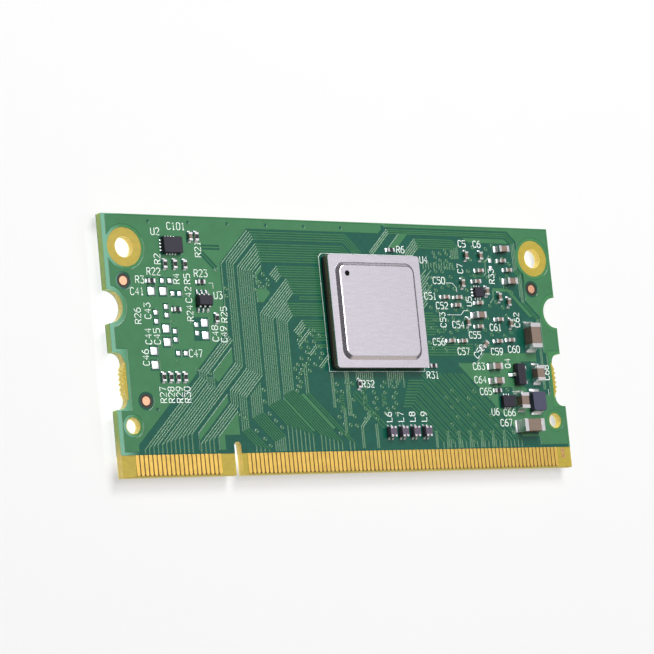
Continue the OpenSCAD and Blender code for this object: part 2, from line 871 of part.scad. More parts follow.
module heat_spreader() {
    mark = raised_top / 2 - pin_mark_inset;
    color("#cfccd4")
        at_processor()
            difference() {
                union() {
                    package_slab(processor_size, processor_size, processor_corner,
                        flange_z, spreader_thickness);
                    raised_form(0, flange_z + spreader_thickness, spreader_rise);
                }
                raised_form(spreader_thickness, flange_z, spreader_rise);
                translate([-mark, mark, flange_z + spreader_thickness + spreader_rise - pin_mark_depth])
                    cylinder(d = pin_mark_diameter, h = pin_mark_depth + cut);
            }
}

// Moves its children to the middle of the flash package
module at_flash() {
    translate([left_end + flash_x, contact_edge + flash_y])
        children();
}

module memory_balls() {
    color("#b9bcc0")
        at_processor()
            translate([0, 0, back_z - ball_height])
                ball_grid(memory_length, memory_width);
}

module memory_substrate() {
    color("#22381f")
        at_processor()
            package_slab(memory_length, memory_width, back_package_corner,
                back_substrate_z, back_substrate_thickness);
}

module memory_mould() {
    color("#1c1b1e")
        at_processor()
            package_slab(memory_length, memory_width, back_package_corner, 0, back_substrate_z);
}

module flash_balls() {
    color("#b9bcc0")
        at_flash()
            translate([0, 0, back_z - ball_height])
                ball_grid(flash_length, flash_width);
}

module flash_substrate() {
    color("#22381f")
        at_flash()
            package_slab(flash_length, flash_width, back_package_corner,
                back_substrate_z, back_substrate_thickness);
}

module flash_mould() {
    color("#1c1b1e")
        at_flash()
            package_slab(flash_length, flash_width, back_package_corner, 0, back_substrate_z);
}

module interface_chip_body() {
    color("#38343e")
        on_front(interface_chip_places)
            block(interface_chip);
}

module interface_chip_pads() {
    color("#c9ccd0")
        on_front(interface_chip_places)
            at_side_pads(interface_chip, interface_pads[0], interface_pads[1])
                side_pad();
}

module converter_chip_body() {
    color("#2c2a30")
        on_front(converter_chip_places)
            block(converter_chip);
}

module converter_chip_pads() {
    color("#c9ccd0")
        on_front(converter_chip_places)
            at_side_pads(converter_chip, converter_pads[0], converter_pads[1])
                side_pad();
}

module regulator_chip_body() {
    color("#1f1d20")
        on_front(regulator_chip_places)
            block(regulator_chip);
}

module regulator_chip_pads() {
    color("#c9ccd0")
        on_front(regulator_chip_places)
            at_side_pads(regulator_chip, regulator_pads[0], regulator_pads[1])
                side_pad();
}

module switch_chip_body() {
    color("#38343e")
        on_front(switch_chip_places)
            moulded_body([switch_chip_length, switch_chip_width, switch_chip_height]);
}

module switch_chip_leads() {
    color("#c9ccd0")
        on_front(switch_chip_places)
            at_switch_leads()
                bent_lead(switch_lead_width, switch_chip_height);
}

module transistor_body() {
    color("#38343e")
        on_front(transistor_places)
            moulded_body([transistor_length, transistor_width, transistor_height]);
}

module transistor_leads() {
    color("#c9ccd0")
        on_front(transistor_places)
            at_transistor_leads()
                bent_lead(transistor_lead_width, transistor_height);
}

module inductor_core() {
    x = inductor_length / 2;
    y = inductor_width / 2;
    c = inductor_chamfer;
    color("#5c5c74")
        on_front(inductor_places)
            linear_extrude(inductor_height)
                polygon([
                    [-x + c, -y], [x - c, -y], [x, -y + c], [x, y - c],
                    [x - c, y], [-x + c, y], [-x, y - c], [-x, -y + c]
                ]);
}

module inductor_plates() {
    color("#d5d8da")
        on_front(inductor_places)
            at_inductor_plates()
                translate([inductor_plate / 2, 0, 0])
                    block([inductor_plate, inductor_plate_width, inductor_plate_height]);
}

module choke_bodies() {
    color("#4a4450")
        on_front(choke_places)
            block([choke_length, choke_width, choke_height]);
}

module choke_terminals() {
    color("#d5d8da")
        on_front(choke_places)
            at_choke_terminals()
                rotate([90, 0, 0])
                    linear_extrude(choke_terminal_width, center = true)
                        polygon([
                            [0, 0], [plating, 0], [plating, choke_height + plating],
                            [-choke_terminal_fold, choke_height + plating],
                            [-choke_terminal_fold, choke_height], [0, choke_height]
                        ]);
}

module bulk_capacitor_bodies() {
    color("#8f7a66")
        on_front(bulk_places)
            chip_core(bulk_chip);
}

module bulk_capacitor_ends() {
    color("#dfe1e3")
        on_front(bulk_places)
            chip_ends(bulk_chip, bulk_chip_end);
}

module large_capacitor_bodies() {
    color("#8f7a66")
        on_front(large_places)
            chip_core(large_chip);
}

module large_capacitor_ends() {
    color("#dfe1e3")
        on_front(large_places)
            chip_ends(large_chip, large_chip_end);
}

module medium_capacitor_bodies() {
    color("#8f7a66")
        on_front(medium_places)
            chip_core(medium_chip);
}

module medium_capacitor_ends() {
    color("#dfe1e3")
        on_front(medium_places)
            chip_ends(medium_chip, medium_chip_end);
}

module small_capacitor_bodies() {
    color("#7d6a58")
        on_front(small_places)
            chip_core(small_chip);
}

module small_capacitor_ends() {
    color("#dfe1e3")
        on_front(small_places)
            chip_ends(small_chip, small_chip_end);
}

module resistor_bodies() {
    color("#e9e7e2")
        on_front(resistor_places)
            chip_core(resistor_chip);
}

module resistor_films() {
    film_length = small_chip_length - 2 * small_chip_end;
    film_width = small_chip_width - 2 * film_margin;
    color("#1d1b20")
        on_front(resistor_places)
            translate([0, 0, resistor_height - plating])
                block([film_length, film_width, plating + film_thickness]);
}

module resistor_ends() {
    color("#dfe1e3")
        on_front(resistor_places)
            chip_ends(resistor_chip, small_chip_end);
}

module back_capacitor_bodies() {
    color("#7d6a58")
        on_back(back_capacitor_places)
            chip_core(small_chip);
}

module back_capacitor_ends() {
    color("#dfe1e3")
        on_back(back_capacitor_places)
            chip_ends(small_chip, small_chip_end);
}

module front_solder_fillets() {
    color("#e6e8ea") {
        on_front(bulk_places)
            chip_fillets(bulk_chip, large_solder_foot);
        on_front(large_places)
            chip_fillets(large_chip, large_solder_foot);
        on_front(medium_places)
            chip_fillets(medium_chip, large_solder_foot);
        on_front(small_places)
            chip_fillets(small_chip, small_solder_foot);
        on_front(resistor_places)
            chip_fillets(resistor_chip, small_solder_foot);
        on_front(interface_chip_places)
            at_side_pads(interface_chip, interface_pads[0], interface_pads[1])
                side_pad_fillet();
        on_front(converter_chip_places)
            at_side_pads(converter_chip, converter_pads[0], converter_pads[1])
                side_pad_fillet();
        on_front(regulator_chip_places)
            at_side_pads(regulator_chip, regulator_pads[0], regulator_pads[1])
                side_pad_fillet();
        on_front(switch_chip_places)
            at_switch_leads()
                translate([lead_reach, 0, 0])
                    fillet(switch_lead_width, small_solder_foot, lead_thickness);
        on_front(transistor_places)
            at_transistor_leads()
                translate([lead_reach, 0, 0])
                    fillet(transistor_lead_width, large_solder_foot, lead_thickness);
        on_front(inductor_places)
            at_inductor_plates()
                translate([inductor_plate, 0, 0])
                    fillet(inductor_plate_width, large_solder_foot, solder_climb * inductor_plate_height);
        on_front(choke_places)
            at_choke_terminals()
                translate([plating, 0, 0])
                    fillet(choke_terminal_width, small_solder_foot, solder_climb * choke_height);
    }
}

module back_solder_fillets() {
    color("#e6e8ea")
        on_back(back_capacitor_places)
            chip_fillets(small_chip, small_solder_foot);
}

circuit_board();
front_solder_mask();
back_solder_mask();
front_contacts_short();
front_contacts_long();
back_contacts_short();
back_contacts_long();
fiducial_targets();
bare_solder_pads();
processor_balls();
processor_substrate();
processor_die();
processor_mould();
heat_spreader();
memory_balls();
memory_substrate();
memory_mould();
flash_balls();
flash_substrate();
flash_mould();
interface_chip_body();
interface_chip_pads();
converter_chip_body();
converter_chip_pads();
regulator_chip_body();
regulator_chip_pads();
switch_chip_body();
switch_chip_leads();
transistor_body();
transistor_leads();
inductor_core();
inductor_plates();
choke_bodies();
choke_terminals();
bulk_capacitor_bodies();
bulk_capacitor_ends();
large_capacitor_bodies();
large_capacitor_ends();
medium_capacitor_bodies();
medium_capacitor_ends();
small_capacitor_bodies();
small_capacitor_ends();
resistor_bodies();
resistor_films();
resistor_ends();
back_capacitor_bodies();
back_capacitor_ends();
front_solder_fillets();
back_solder_fillets();
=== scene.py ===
"""Dresses the plug-in circuit module: copper relief, printed legend, solder, stamped cover and studio."""

import json
import math

import bpy
from bpy.props import FloatProperty, FloatVectorProperty, PointerProperty
from mathutils import Matrix, Vector

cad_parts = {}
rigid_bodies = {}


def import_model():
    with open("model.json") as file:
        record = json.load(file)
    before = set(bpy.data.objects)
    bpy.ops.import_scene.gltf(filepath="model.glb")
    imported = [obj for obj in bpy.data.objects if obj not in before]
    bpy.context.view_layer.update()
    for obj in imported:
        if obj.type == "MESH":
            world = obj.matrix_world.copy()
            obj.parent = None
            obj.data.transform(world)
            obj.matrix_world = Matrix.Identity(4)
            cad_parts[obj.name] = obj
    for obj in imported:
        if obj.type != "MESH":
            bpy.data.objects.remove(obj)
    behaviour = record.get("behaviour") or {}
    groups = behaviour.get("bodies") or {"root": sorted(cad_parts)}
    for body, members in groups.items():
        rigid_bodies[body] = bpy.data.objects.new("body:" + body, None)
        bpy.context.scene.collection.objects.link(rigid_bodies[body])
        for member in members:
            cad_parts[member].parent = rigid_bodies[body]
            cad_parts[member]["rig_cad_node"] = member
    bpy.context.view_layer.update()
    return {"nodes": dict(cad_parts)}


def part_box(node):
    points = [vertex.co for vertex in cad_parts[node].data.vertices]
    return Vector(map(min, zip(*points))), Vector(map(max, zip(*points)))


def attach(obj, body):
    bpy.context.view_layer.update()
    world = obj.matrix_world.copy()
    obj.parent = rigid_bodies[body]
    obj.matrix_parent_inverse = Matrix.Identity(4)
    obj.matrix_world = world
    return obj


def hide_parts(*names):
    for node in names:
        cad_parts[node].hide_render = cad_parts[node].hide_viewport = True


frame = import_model()

bl_info = {
    "name": "Circuit module finisher",
    "version": (1, 0, 0),
    "blender": (4, 5, 0),
    "location": "View3D > Sidebar > Module",
    "description": "Finishes the CAD solids of a plug-in circuit module and sets up its studio",
    "category": "Object",
}

MM = 0.001

# Corner of the board that the places below are measured from, and the two mask faces
BOARD_LOW, BOARD_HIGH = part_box("circuit_board")
FRONT_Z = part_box("front_solder_mask")[1].z / MM
BACK_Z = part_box("back_solder_mask")[0].z / MM
CONTACT_TOP = (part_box("front_contacts_short")[1].y - BOARD_LOW.y) / MM

# Edge contacts, in millimetres from the board's left end
CONTACT_PITCH = 0.6
CONTACT_WIDTH = 0.45
SHORT_ROW_X = (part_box("front_contacts_short")[0].x - BOARD_LOW.x) / MM + CONTACT_WIDTH / 2
LONG_ROW_X = (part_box("front_contacts_long")[0].x - BOARD_LOW.x) / MM + CONTACT_WIDTH / 2

LENGTH = (BOARD_HIGH.x - BOARD_LOW.x) / MM
WIDTH = (BOARD_HIGH.y - BOARD_LOW.y) / MM

# Middles of the holes, notches and targets, and radius of the clear ring in the copper round each
MOUNTING_X, MOUNTING_Y, MOUNTING_RING = 2.9, 27.05, 2.72
LATCH_Y, LATCH_RING = 20, 2.5
LOCATING_X, LOCATING_Y, LOCATING_RING = 2, 6, 1.35
TARGETS = ((2.35, 23.05), (4.05, 8.9), (64, 23.05))
TARGET_RING = 1.05

# Bare disc of a target and the dark ring round it, and the small test rings beside the contacts with their section
TARGET_DISC = 0.53
TARGET_CLEAR = 0.87
TEST_RINGS = ((66.3, 2.15), (66.3, 1.45))
TEST_RING = 0.24
TEST_SIDES = 16
TEST_RIDGE = (0.05, 0.02, 0.03)

# Distance of the copper from the left and right ends and beside the tabs, the lines where that part ends,
# and the copper's lowest and highest line
COPPER_INSET = 0.5
RIGHT_INSET = 0.2
RECESS_INSET = 2
RECESS_LOW = 7.75
RECESS_HIGH = 15
COPPER_LOW = CONTACT_TOP + 0.35
COPPER_HIGH = WIDTH - 0.12
# Angle in degrees where the right copper area leaves the mounting hole's ring
RIGHT_RING_END = -35
# Line where the tracks leave the contacts
TRACK_FOOT = CONTACT_TOP + 0.12

# Clearance of the copper areas round pads, narrowest copper between pads, and the nodes that lie on pads
PAD_CLEAR = 0.15
PAD_GAP = 0.14
PAD_NODES = (
    "bare_solder_pads", "resistor_ends", "small_capacitor_ends", "medium_capacitor_ends", "large_capacitor_ends",
    "bulk_capacitor_ends", "switch_chip_leads", "interface_chip_body", "regulator_chip_body", "transistor_leads",
    "inductor_plates",
)

# Thin lip of mask that runs on towards each locating hole
LIP_OUTER = 1.16
LIP_INNER = 1.0
LIP_SLOPE = 0.02

# Thin films on the laminate
FILM = 0.006
FILM_SLOPE = 0.003

# Smallest join and fold that count when a copy of a CAD mesh is merged
WELD = 1e-6
FLAT = math.radians(2)
# Upright part of a normal from which a face counts as level, and from which it counts as a top
LEVEL = 0.99999
UPRIGHT = 0.9
# Degrees by which shading smooths more than rounding does, and how much large faces weigh in it
SMOOTH_MARGIN = 20
FACE_WEIGHT = 100

# In millimetres: join of curve meshes, and height steps between tracks that cross
CURVE_WELD = 1e-4
HAIR = 0.0004
HAIR_LEVELS = 7


def linear(code):
    """Linear colour of an sRGB hex value."""
    parts = [int(code[i:i + 2], 16) / 255 for i in (1, 3, 5)]
    return [c / 12.92 if c <= 0.04045 else ((c + 0.055) / 1.055) ** 2.4 for c in parts] + [1]


def size(name, description, millimetres):
    """A length that a user may change."""
    return FloatProperty(
        name=name, description=description, default=millimetres * MM, unit="LENGTH", precision=6
    )


def colour(name, description, code):
    """A colour that a user may change, given as an sRGB hex value."""
    return FloatVectorProperty(
        name=name, description=description, default=linear(code), size=4, min=0, max=1, subtype="COLOR"
    )


class ModuleSizes(bpy.types.PropertyGroup):
    """Sizes of what is added to the solids."""

    track_width: size("Track width", "Width of a track's flat top", 0.085)
    track_height: size("Track height", "Height of copper and mask over the bare board", 0.026)
    track_slope: size("Track slope", "Width of the slope beside a track or a pour", 0.062)
    via_radius: size("Via radius", "Radius of the ridge round a plated hole", 0.19)
    via_slope: size("Via slope", "Width of the slopes of that ridge", 0.09)
    via_height: size("Via height", "Height of that ridge over the bare board", 0.034)
    ink_width: size("Ink width", "Width of a printed stroke", 0.125)
    ink_height: size("Ink height", "Height of the print over the mask", 0.045)
    letter_height: size("Letter height", "Height of the printed letters", 0.84)
    chip_edge: size("Chip edge", "Radius of the edges of moulded chips", 0.05)
    ceramic_edge: size("Ceramic edge", "Radius of the edges of ceramic bodies", 0.04)
    plating_edge: size("Plating edge", "Radius of the edges of plated ends", 0.05)
    lead_edge: size("Lead edge", "Radius of the edges of leads and pads", 0.02)
    solder_edge: size("Solder edge", "Radius of the edges of solder", 0.03)
    contact_edge: size("Contact edge", "Radius of the edges of the gold contacts", 0.012)
    cover_edge: size("Cover edge", "Reach of the rounded rim of the stamped cover", 0.11)
    package_edge: size("Package edge", "Radius of the edges of the large packages", 0.04)


class ModuleColours(bpy.types.PropertyGroup):
    """Colours of the materials."""

    mask_bare: colour("Mask on laminate", "Solder mask with no copper below it", "#0A4F40")
    # Painted glow: the mask is painted pale at the left end for light from the cut edge
    mask_margin: colour("Mask at the left end", "Solder mask that light from the cut edge shines through", "#6CA389")
    # Painted glow: the mask is painted lighter round the holes and along the edges
    mask_lit: colour("Mask at holes and edges", "Solder mask that light from there shines through", "#3C7A4A")
    mask_copper: colour("Mask on copper", "Solder mask with copper below it", "#3A724B")
    laminate: colour("Laminate", "Bare glass fibre laminate", "#B09C35")
    # Painted glow: the cut edges are painted green for light through the mask skins
    laminate_edge: colour("Laminate edge", "Cut edge of the laminate between the mask skins", "#A6C766")
    # Painted glow: the cut walls are painted pale for light shining through the laminate
    laminate_wall: colour("Laminate wall", "Cut walls of the laminate that light shines through", "#F0DA78")
    # Painted shade: the laminate between the contacts is painted dark for the shade of the gold
    laminate_gap: colour("Laminate between contacts", "Bare laminate in the narrow gaps", "#5A4016")
    target_ring: colour("Target ring", "Dark clear ring round a copper target", "#211F12")
    gold: colour("Gold", "Hard gold of the contacts", "#EEC567")
    copper: colour("Copper", "Bare copper of the targets", "#F4B896")
    solder: colour("Solder", "Reflowed solder", "#F6F6F8")
    tin: colour("Tin", "Plated ends and leads", "#E2E0E2")
    nickel: colour("Nickel", "Plated cover", "#D8D3DC")
    mould: colour("Mould", "Moulding compound of the chips", "#2A2732")
    package: colour("Package", "Moulding compound of the large packages", "#2F2C2B")
    organic: colour("Organic laminate", "Layers of the processor package below its cover", "#806E5C")
    ferrite: colour("Ferrite", "Pressed core of the inductor", "#3E4056")
    choke: colour("Choke", "Fired ferrite of the chokes", "#554C5C")
    ceramic: colour("Ceramic", "Fired ceramic of the capacitors", "#7C6A5E")
    alumina: colour("Alumina", "Fired ceramic of the resistors", "#E9E6DF")
    glass: colour("Glass", "Overcoat of the resistors", "#17141A")
    ink: colour("Ink", "Printed legend", "#EEF6F0")
    dot: colour("Dot", "Corner dot of the cover", "#0A0A0C")
    floor: colour("Floor", "Light table", "#A0A0A0")


def sizes():
    return bpy.context.scene.module_sizes


def colours():
    return bpy.context.scene.module_colours


# Modelling helpers, in board millimetres until to_frame


def activate(piece):
    """Makes a piece the only selected one and the active one."""
    bpy.ops.object.select_all(action="DESELECT")
    piece.select_set(True)
    bpy.context.view_layer.objects.active = piece


def to_frame(piece):
    """Moves a mesh from board millimetres to the frame's metres, place and all."""
    corner = Matrix.Translation((BOARD_LOW.x, BOARD_LOW.y, 0))
    piece.data.transform(corner @ Matrix.Scale(MM, 4))
    piece.data.update()
    return piece


def to_back(piece):
    """Turns what was made on the plane z = 0 over onto the back."""
    piece.data.transform(Matrix.Translation((0, 0, BACK_Z)) @ Matrix.Diagonal((1, 1, -1, 1)))
    piece.data.flip_normals()
    return piece


def settle(piece, material, stands_for=()):
    """Gives a finished piece its material and hangs it on the board."""
    piece.data.materials.clear()
    piece.data.materials.append(material)
    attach(piece, "root")
    if stands_for:
        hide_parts(*stands_for)
    return piece


def dress(material, *nodes):
    """Gives CAD nodes their material."""
    for node in nodes:
        data = frame["nodes"][node].data
        data.materials.clear()
        data.materials.append(material)


def even_normals(piece, angle):
    """Smooth shading that leaves large and level faces flat and edges over the angle sharp."""
    activate(piece)
    bpy.ops.object.shade_smooth_by_angle(angle=math.radians(angle))
    for face in piece.data.polygons:
        face.use_smooth = face.use_smooth and abs(face.normal.z) < LEVEL
    bpy.ops.object.modifier_add(type="WEIGHTED_NORMAL")
    piece.modifiers[-1].keep_sharp = True
    piece.modifiers[-1].weight = FACE_WEIGHT
    bpy.ops.object.modifier_apply(modifier=piece.modifiers[-1].name)


def select_faces(piece, wanted):
    """Enters edit mode with only the wanted faces selected."""
    activate(piece)
    bpy.context.tool_settings.mesh_select_mode = (False, False, True)
    data = piece.data
    data.vertices.foreach_set("select", [False] * len(data.vertices))
    data.edges.foreach_set("select", [False] * len(data.edges))
    for face in data.polygons:
        face.select = wanted(face)
    bpy.ops.object.mode_set(mode="EDIT")


def select_top(piece):
    """Enters edit mode with only the highest flat faces selected."""
    top = max(vertex.co.z for vertex in piece.data.vertices)
    select_faces(piece, lambda face: face.normal.z > UPRIGHT and face.center.z > top - WELD)


def spare(piece, unwanted):
    """Takes the edges whose middle, in frame metres, is unwanted out of the selection."""
    bpy.ops.object.mode_set(mode="OBJECT")
    data = piece.data
    data.vertices.foreach_set("select", [False] * len(data.vertices))
    data.polygons.foreach_set("select", [False] * len(data.polygons))
    for edge in data.edges:
        first, second = [data.vertices[i].co for i in edge.vertices]
        edge.select = edge.select and not unwanted((first + second) / 2)
    bpy.ops.object.mode_set(mode="EDIT")


def soften(node, radius, material, segments=2, sharp=30, clamped=False, unwanted=None, rim=0):
    """A copy of a CAD node with rounded edges, which stands for the node. A rim is the width of a band
    laid first round its flat top, so that the rounding stays clear of the joins in the middle."""
    activate(frame["nodes"][node])
    bpy.ops.object.duplicate()
    piece = bpy.context.object
    piece.name = node + "_finished"
    del piece["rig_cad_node"]
    bpy.ops.object.mode_set(mode="EDIT")
    bpy.ops.mesh.select_mode(type="EDGE")
    bpy.ops.mesh.select_all(action="SELECT")
    bpy.ops.mesh.customdata_custom_splitnormals_clear()
    bpy.ops.mesh.remove_doubles(threshold=WELD)
    bpy.ops.mesh.dissolve_limited(angle_limit=FLAT)
    bpy.ops.object.mode_set(mode="OBJECT")
    if rim:
        select_top(piece)
        bpy.ops.mesh.inset(thickness=rim)
        bpy.ops.object.mode_set(mode="OBJECT")
    bpy.ops.object.mode_set(mode="EDIT")
    bpy.ops.mesh.select_mode(type="EDGE")
    bpy.ops.mesh.select_all(action="DESELECT")
    bpy.ops.mesh.edges_select_sharp(sharpness=math.radians(sharp))
    if unwanted:
        spare(piece, unwanted)
    bpy.ops.mesh.bevel(offset=radius, segments=segments, affect="EDGES", clamp_overlap=clamped)
    bpy.ops.object.mode_set(mode="OBJECT")
    even_normals(piece, sharp + SMOOTH_MARGIN)
    return settle(piece, material, [node])


def add_spline(curve, points, closed):
    spline = curve.splines.new("POLY")
    spline.points.add(len(points) - 1)
    for target, point in zip(spline.points, points):
        target.co = (*point, 1)
    spline.use_cyclic_u = closed
    spline.use_smooth = False


def curve_object(name, data):
    piece = bpy.data.objects.new(name, data)
    bpy.context.scene.collection.objects.link(piece)
    return piece


def close_mesh(piece):
    """Joins the parts of a mesh made from a curve and turns its faces outwards."""
    activate(piece)
    bpy.ops.object.mode_set(mode="EDIT")
    bpy.ops.mesh.select_all(action="SELECT")
    bpy.ops.mesh.remove_doubles(threshold=CURVE_WELD)
    bpy.ops.mesh.normals_make_consistent(inside=False)
    bpy.ops.object.mode_set(mode="OBJECT")
    return piece


def sweep(name, lines, rings, section, z):
    """One mesh of a closed section swept along flat polylines and closed rings at height z.
    Lines that cross lie a hair apart in height, so that no two faces share a plane."""
    profile = bpy.data.curves.new(name + "_section", "CURVE")
    add_spline(profile, [(u, v, 0) for u, v in section], True)
    profile_object = curve_object(name + "_section", profile)
    path = bpy.data.curves.new(name, "CURVE")
    path.dimensions = "3D"
    path.twist_mode = "Z_UP"
    path.bevel_mode = "OBJECT"
    path.bevel_object = profile_object
    path.use_fill_caps = True
    routes = [(line, False) for line in lines] + [(ring, True) for ring in rings]
    for i, (points, closed) in enumerate(routes):
        level = z + HAIR * (i % HAIR_LEVELS)
        add_spline(path, [(x, y, level) for x, y in points], closed)
    piece = curve_object(name, path)
    activate(piece)
    bpy.ops.object.convert(target="MESH")
    bpy.data.objects.remove(profile_object)
    return close_mesh(bpy.context.object)


def sheet(name, outlines, slope, height, z):
    """One mesh of flat shapes with sloping edges. An outline inside another is a hole."""
    path = bpy.data.curves.new(name, "CURVE")
    path.dimensions = "2D"
    path.fill_mode = "BOTH"
    path.bevel_depth = slope
    path.bevel_resolution = 0
    path.offset = -slope
    for points in outlines:
        add_spline(path, [(x, y, 0) for x, y in points], True)
    piece = curve_object(name, path)
    activate(piece)
    bpy.ops.object.convert(target="MESH")
    piece = bpy.context.object
    piece.data.transform(Matrix.Translation((0, 0, z)) @ Matrix.Diagonal((1, 1, height / slope, 1)))
    return close_mesh(piece)


def arc(middle, radius, start, end, steps=12):
    """Points of an arc, angles in degrees."""
    angles = [math.radians(start + (end - start) * i / steps) for i in range(steps + 1)]
    return [(middle[0] + radius * math.cos(a), middle[1] + radius * math.sin(a)) for a in angles]


def circle(middle, radius, steps=28):
    return arc(middle, radius, 0, 360 - 360 / steps, steps - 1)


def offset(route, distance):
    """A route moved to its right by a distance, with its bends mitred."""
    points = [Vector(p) for p in route]
    runs = [(b - a).normalized() for a, b in zip(points, points[1:])]
    sides = [Vector((run.y, -run.x)) for run in runs]
    moved = [points[0] + sides[0] * distance]
    for point, before, after in zip(points[1:], sides, sides[1:]):
        moved.append(point + (before + after) * distance / (1 + before.dot(after)))
    moved.append(points[-1] + sides[-1] * distance)
    return [tuple(p) for p in moved]


def bundle(route, count, pitch):
    """Parallel tracks: the route and count - 1 more to its right."""
    return [offset(route, i * pitch) for i in range(count)]


def fan(contact, count, pitch, route):
    """Tracks from neighbouring contacts, each straight up to its own line of a bundle."""
    lines = []
    for i, line in enumerate(bundle(route, count, pitch)):
        x = contact + i * CONTACT_PITCH
        (x0, y0), (x1, y1) = line[:2]
        bend = y0 + (x - x0) * (y1 - y0) / (x1 - x0)
        lines.append([(x, TRACK_FOOT), (x, bend), *line[1:]])
    return lines


# Steps between scattered places along each axis and their first places, as shares of the box
SCATTER_STEPS = (0.7549, 0.5698)
SCATTER_FIRST = (0.31, 0.17)


def scattered(low, high, count):
    """Places spread evenly but out of line over a box."""
    axes = tuple(zip(low, high, SCATTER_STEPS, SCATTER_FIRST))
    return [tuple(a + (b - a) * ((i * step + first) % 1) for a, b, step, first in axes) for i in range(count)]


# Copper of the front, in millimetres from the left end and the contact edge


def short_contact(number):
    return SHORT_ROW_X + number * CONTACT_PITCH


def long_contact(number):
    return LONG_ROW_X + number * CONTACT_PITCH


def front_tracks():
    """Tracks of the front: fans from the contacts, bundles to the processor and short links."""
    lines = []
    # Left: from the short row up to the right
    lines += fan(short_contact(2), 4, 0.3, [(3.2, 3.05), (11.85, 11.7), (11.85, 12.3), (16.3, 16.75)])
    lines += fan(short_contact(6), 4, 0.3, [(5.75, 3.75), (12.9, 10.9), (12.9, 11.7)])
    lines += bundle([(16.32, 16.8), (16.32, 25.3), (20.5, 29.48)], 1, 0.3)
    lines += fan(
        short_contact(10), 4, 0.3,
        [(8.15, 4.4), (17.1, 13.35), (17.1, 25.6), (20.85, 29.35), (35, 29.35), (37.2, 27.15)],
    )
    lines += fan(
        short_contact(15), 4, 0.3,
        [(11.15, 3.75), (15.95, 8.55), (15.95, 10.05), (18.6, 12.7), (18.6, 24.95), (21.5, 27.85),
         (34.44, 27.85), (35.3, 26.99)],
    )
    # Middle: from the long row up to the left, then up and into the processor's left side
    lines += fan(
        long_contact(2), 4, 0.3,
        [(19.1, 3.3), (17.2, 5.2), (17.2, 9.6), (19.8, 12.2), (19.8, 24.75), (21.7, 26.65), (30.8, 26.65)],
    )
    # Their upper ends lie on a slant
    for start, *rest in bundle([(20.3, 11), (20.3, 7.4), (23.2, 4.5), (23.2, 2.75)], 6, 0.29):
        lines.append([(start[0], start[0] - 9.3), *rest])
    lines += fan(long_contact(10), 7, 0.29, [(24, 5.6), (21.3, 8.3), (21.3, 19.35), (25.6, 23.65), (30.8, 23.65)])
    lines += fan(long_contact(18), 6, 0.29, [(28.8, 4.4), (23.65, 9.55), (23.65, 18.9), (25.4, 20.65), (30.8, 20.65)])
    lines += fan(long_contact(25), 2, 0.3, [(33, 3.6), (27, 9.6), (27, 13.3)])
    lines += bundle([(23.2, 24.05), (24.3, 25.15), (30.8, 25.15)], 5, 0.29)
    lines += bundle([(27.2, 21.5), (30.8, 21.5)], 2, 0.3)
    lines += bundle([(26, 17.2), (27.4, 18.6), (30.8, 18.6)], 4, 0.29)
    lines += bundle([(26.4, 15.6), (28.3, 17.5), (30.8, 17.5)], 2, 0.29)
    lines += bundle([(28.9, 16.8), (30.8, 16.8)], 3, 0.3)
    lines += bundle([(27.9, 14.4), (29.1, 15.6), (30.8, 15.6)], 2, 0.27)
    lines += bundle([(29.3, 12.9), (30.8, 14.4)], 2, 0.27)
    # Below the processor, with meanders that even out the lengths
    for x, y, turns in ((31.9, 7.3, 8), (35.4, 8.3, 5), (38.3, 8, 6)):
        lines.append([(x + 0.5 * (i // 2 % 2), y + 0.3 * ((i + 1) // 2)) for i in range(2 * turns)])
    for i in range(9):
        lines.append([(34.7 + 0.31 * i, 12.3), (34.7 + 0.31 * i, 11.1 - 0.4 * (i % 3))])
        lines.append([(39.5 + 0.3 * i, 12.3), (39.5 + 0.3 * i, 10.3 + 0.35 * (i % 4))])
    lines += bundle([(33, 6.9), (33, 12.3)], 3, 0.24)
    lines += bundle([(32.3, 4.9), (32.3, 7.8)], 2, 0.24)
    lines += bundle([(30.9, 7.9), (30.9, 12.2)], 2, 0.24)
    lines += bundle([(34.7, 2.9), (34.7, 5.6), (36, 6.9), (36, 7.6)], 2, 0.26)
    lines += bundle([(36.9, 2.9), (36.9, 5.9)], 2, 0.26)
    lines += bundle([(34.2, 9.9), (38.4, 5.7)], 2, 0.5)
    # Right: from the long row up to the left and under the processor
    for i in range(22):
        x = long_contact(49 + i)
        foot = (x, 3.5 + 0.09 * (i % 3))
        top = 8 + 0.36 * i if i < 10 else 12.1
        run = (x - (top - foot[1]), top)
        lines.append([(x, TRACK_FOOT), foot, run] + ([(41.4 + 0.13 * i, top)] if i < 10 else []))
    for i in range(7):
        lines += bundle([(46.05 + 1.8 * i, 2.75), (46.05 + 1.8 * i, 4.9)], 2, 0.22)
    lines += bundle([(46.1, 15.8), (53.4, 15.8)], 5, 0.34)
    for i in range(10):
        reach = 0.9 + 0.35 * (i * 5 % 4)
        lines.append([(46, 20.1 + 0.44 * i), (46 + reach, 20.1 + 0.44 * i + reach)])
    for i in range(9):
        lines.append([(46, 17 + 0.34 * i), (47.6 + 0.5 * (i * 3 % 4), 17 + 0.34 * i)])
    # Upper right: nested loops, rows of stubs and the long pair round the top edge
    lines += bundle([(43.9, 27.2), (45.8, 29.1), (51.7, 29.1), (52.5, 28.3), (52.5, 26.7)], 5, 0.27)
    for i in range(11):
        lines.append([(46.8 + 0.42 * i, 25.3 + 0.2 * (i % 2)), (46.8 + 0.42 * i, 26.1 + 0.1 * (i % 3))])
    lines += bundle(
        [(38.6, 27.2), (41.6, 30.2), (60.7, 30.2), (61.9, 29), (61.9, 25.5), (62.5, 24.9), (62.5, 21.9)], 3, 0.24
    )
    lines += bundle([(62.5, 21.9), (62.5, 21.3), (64.62, 19.18), (64.62, 10)], 2, 0.24)
    lines += bundle([(54, 24.6), (56.4, 24.6), (56.8, 25), (56.8, 26.4), (57.4, 27)], 1, 0.3)
    lines += bundle([(57, 21.1), (57.6, 21.7), (57.6, 22.8)], 1, 0.3)
    return lines


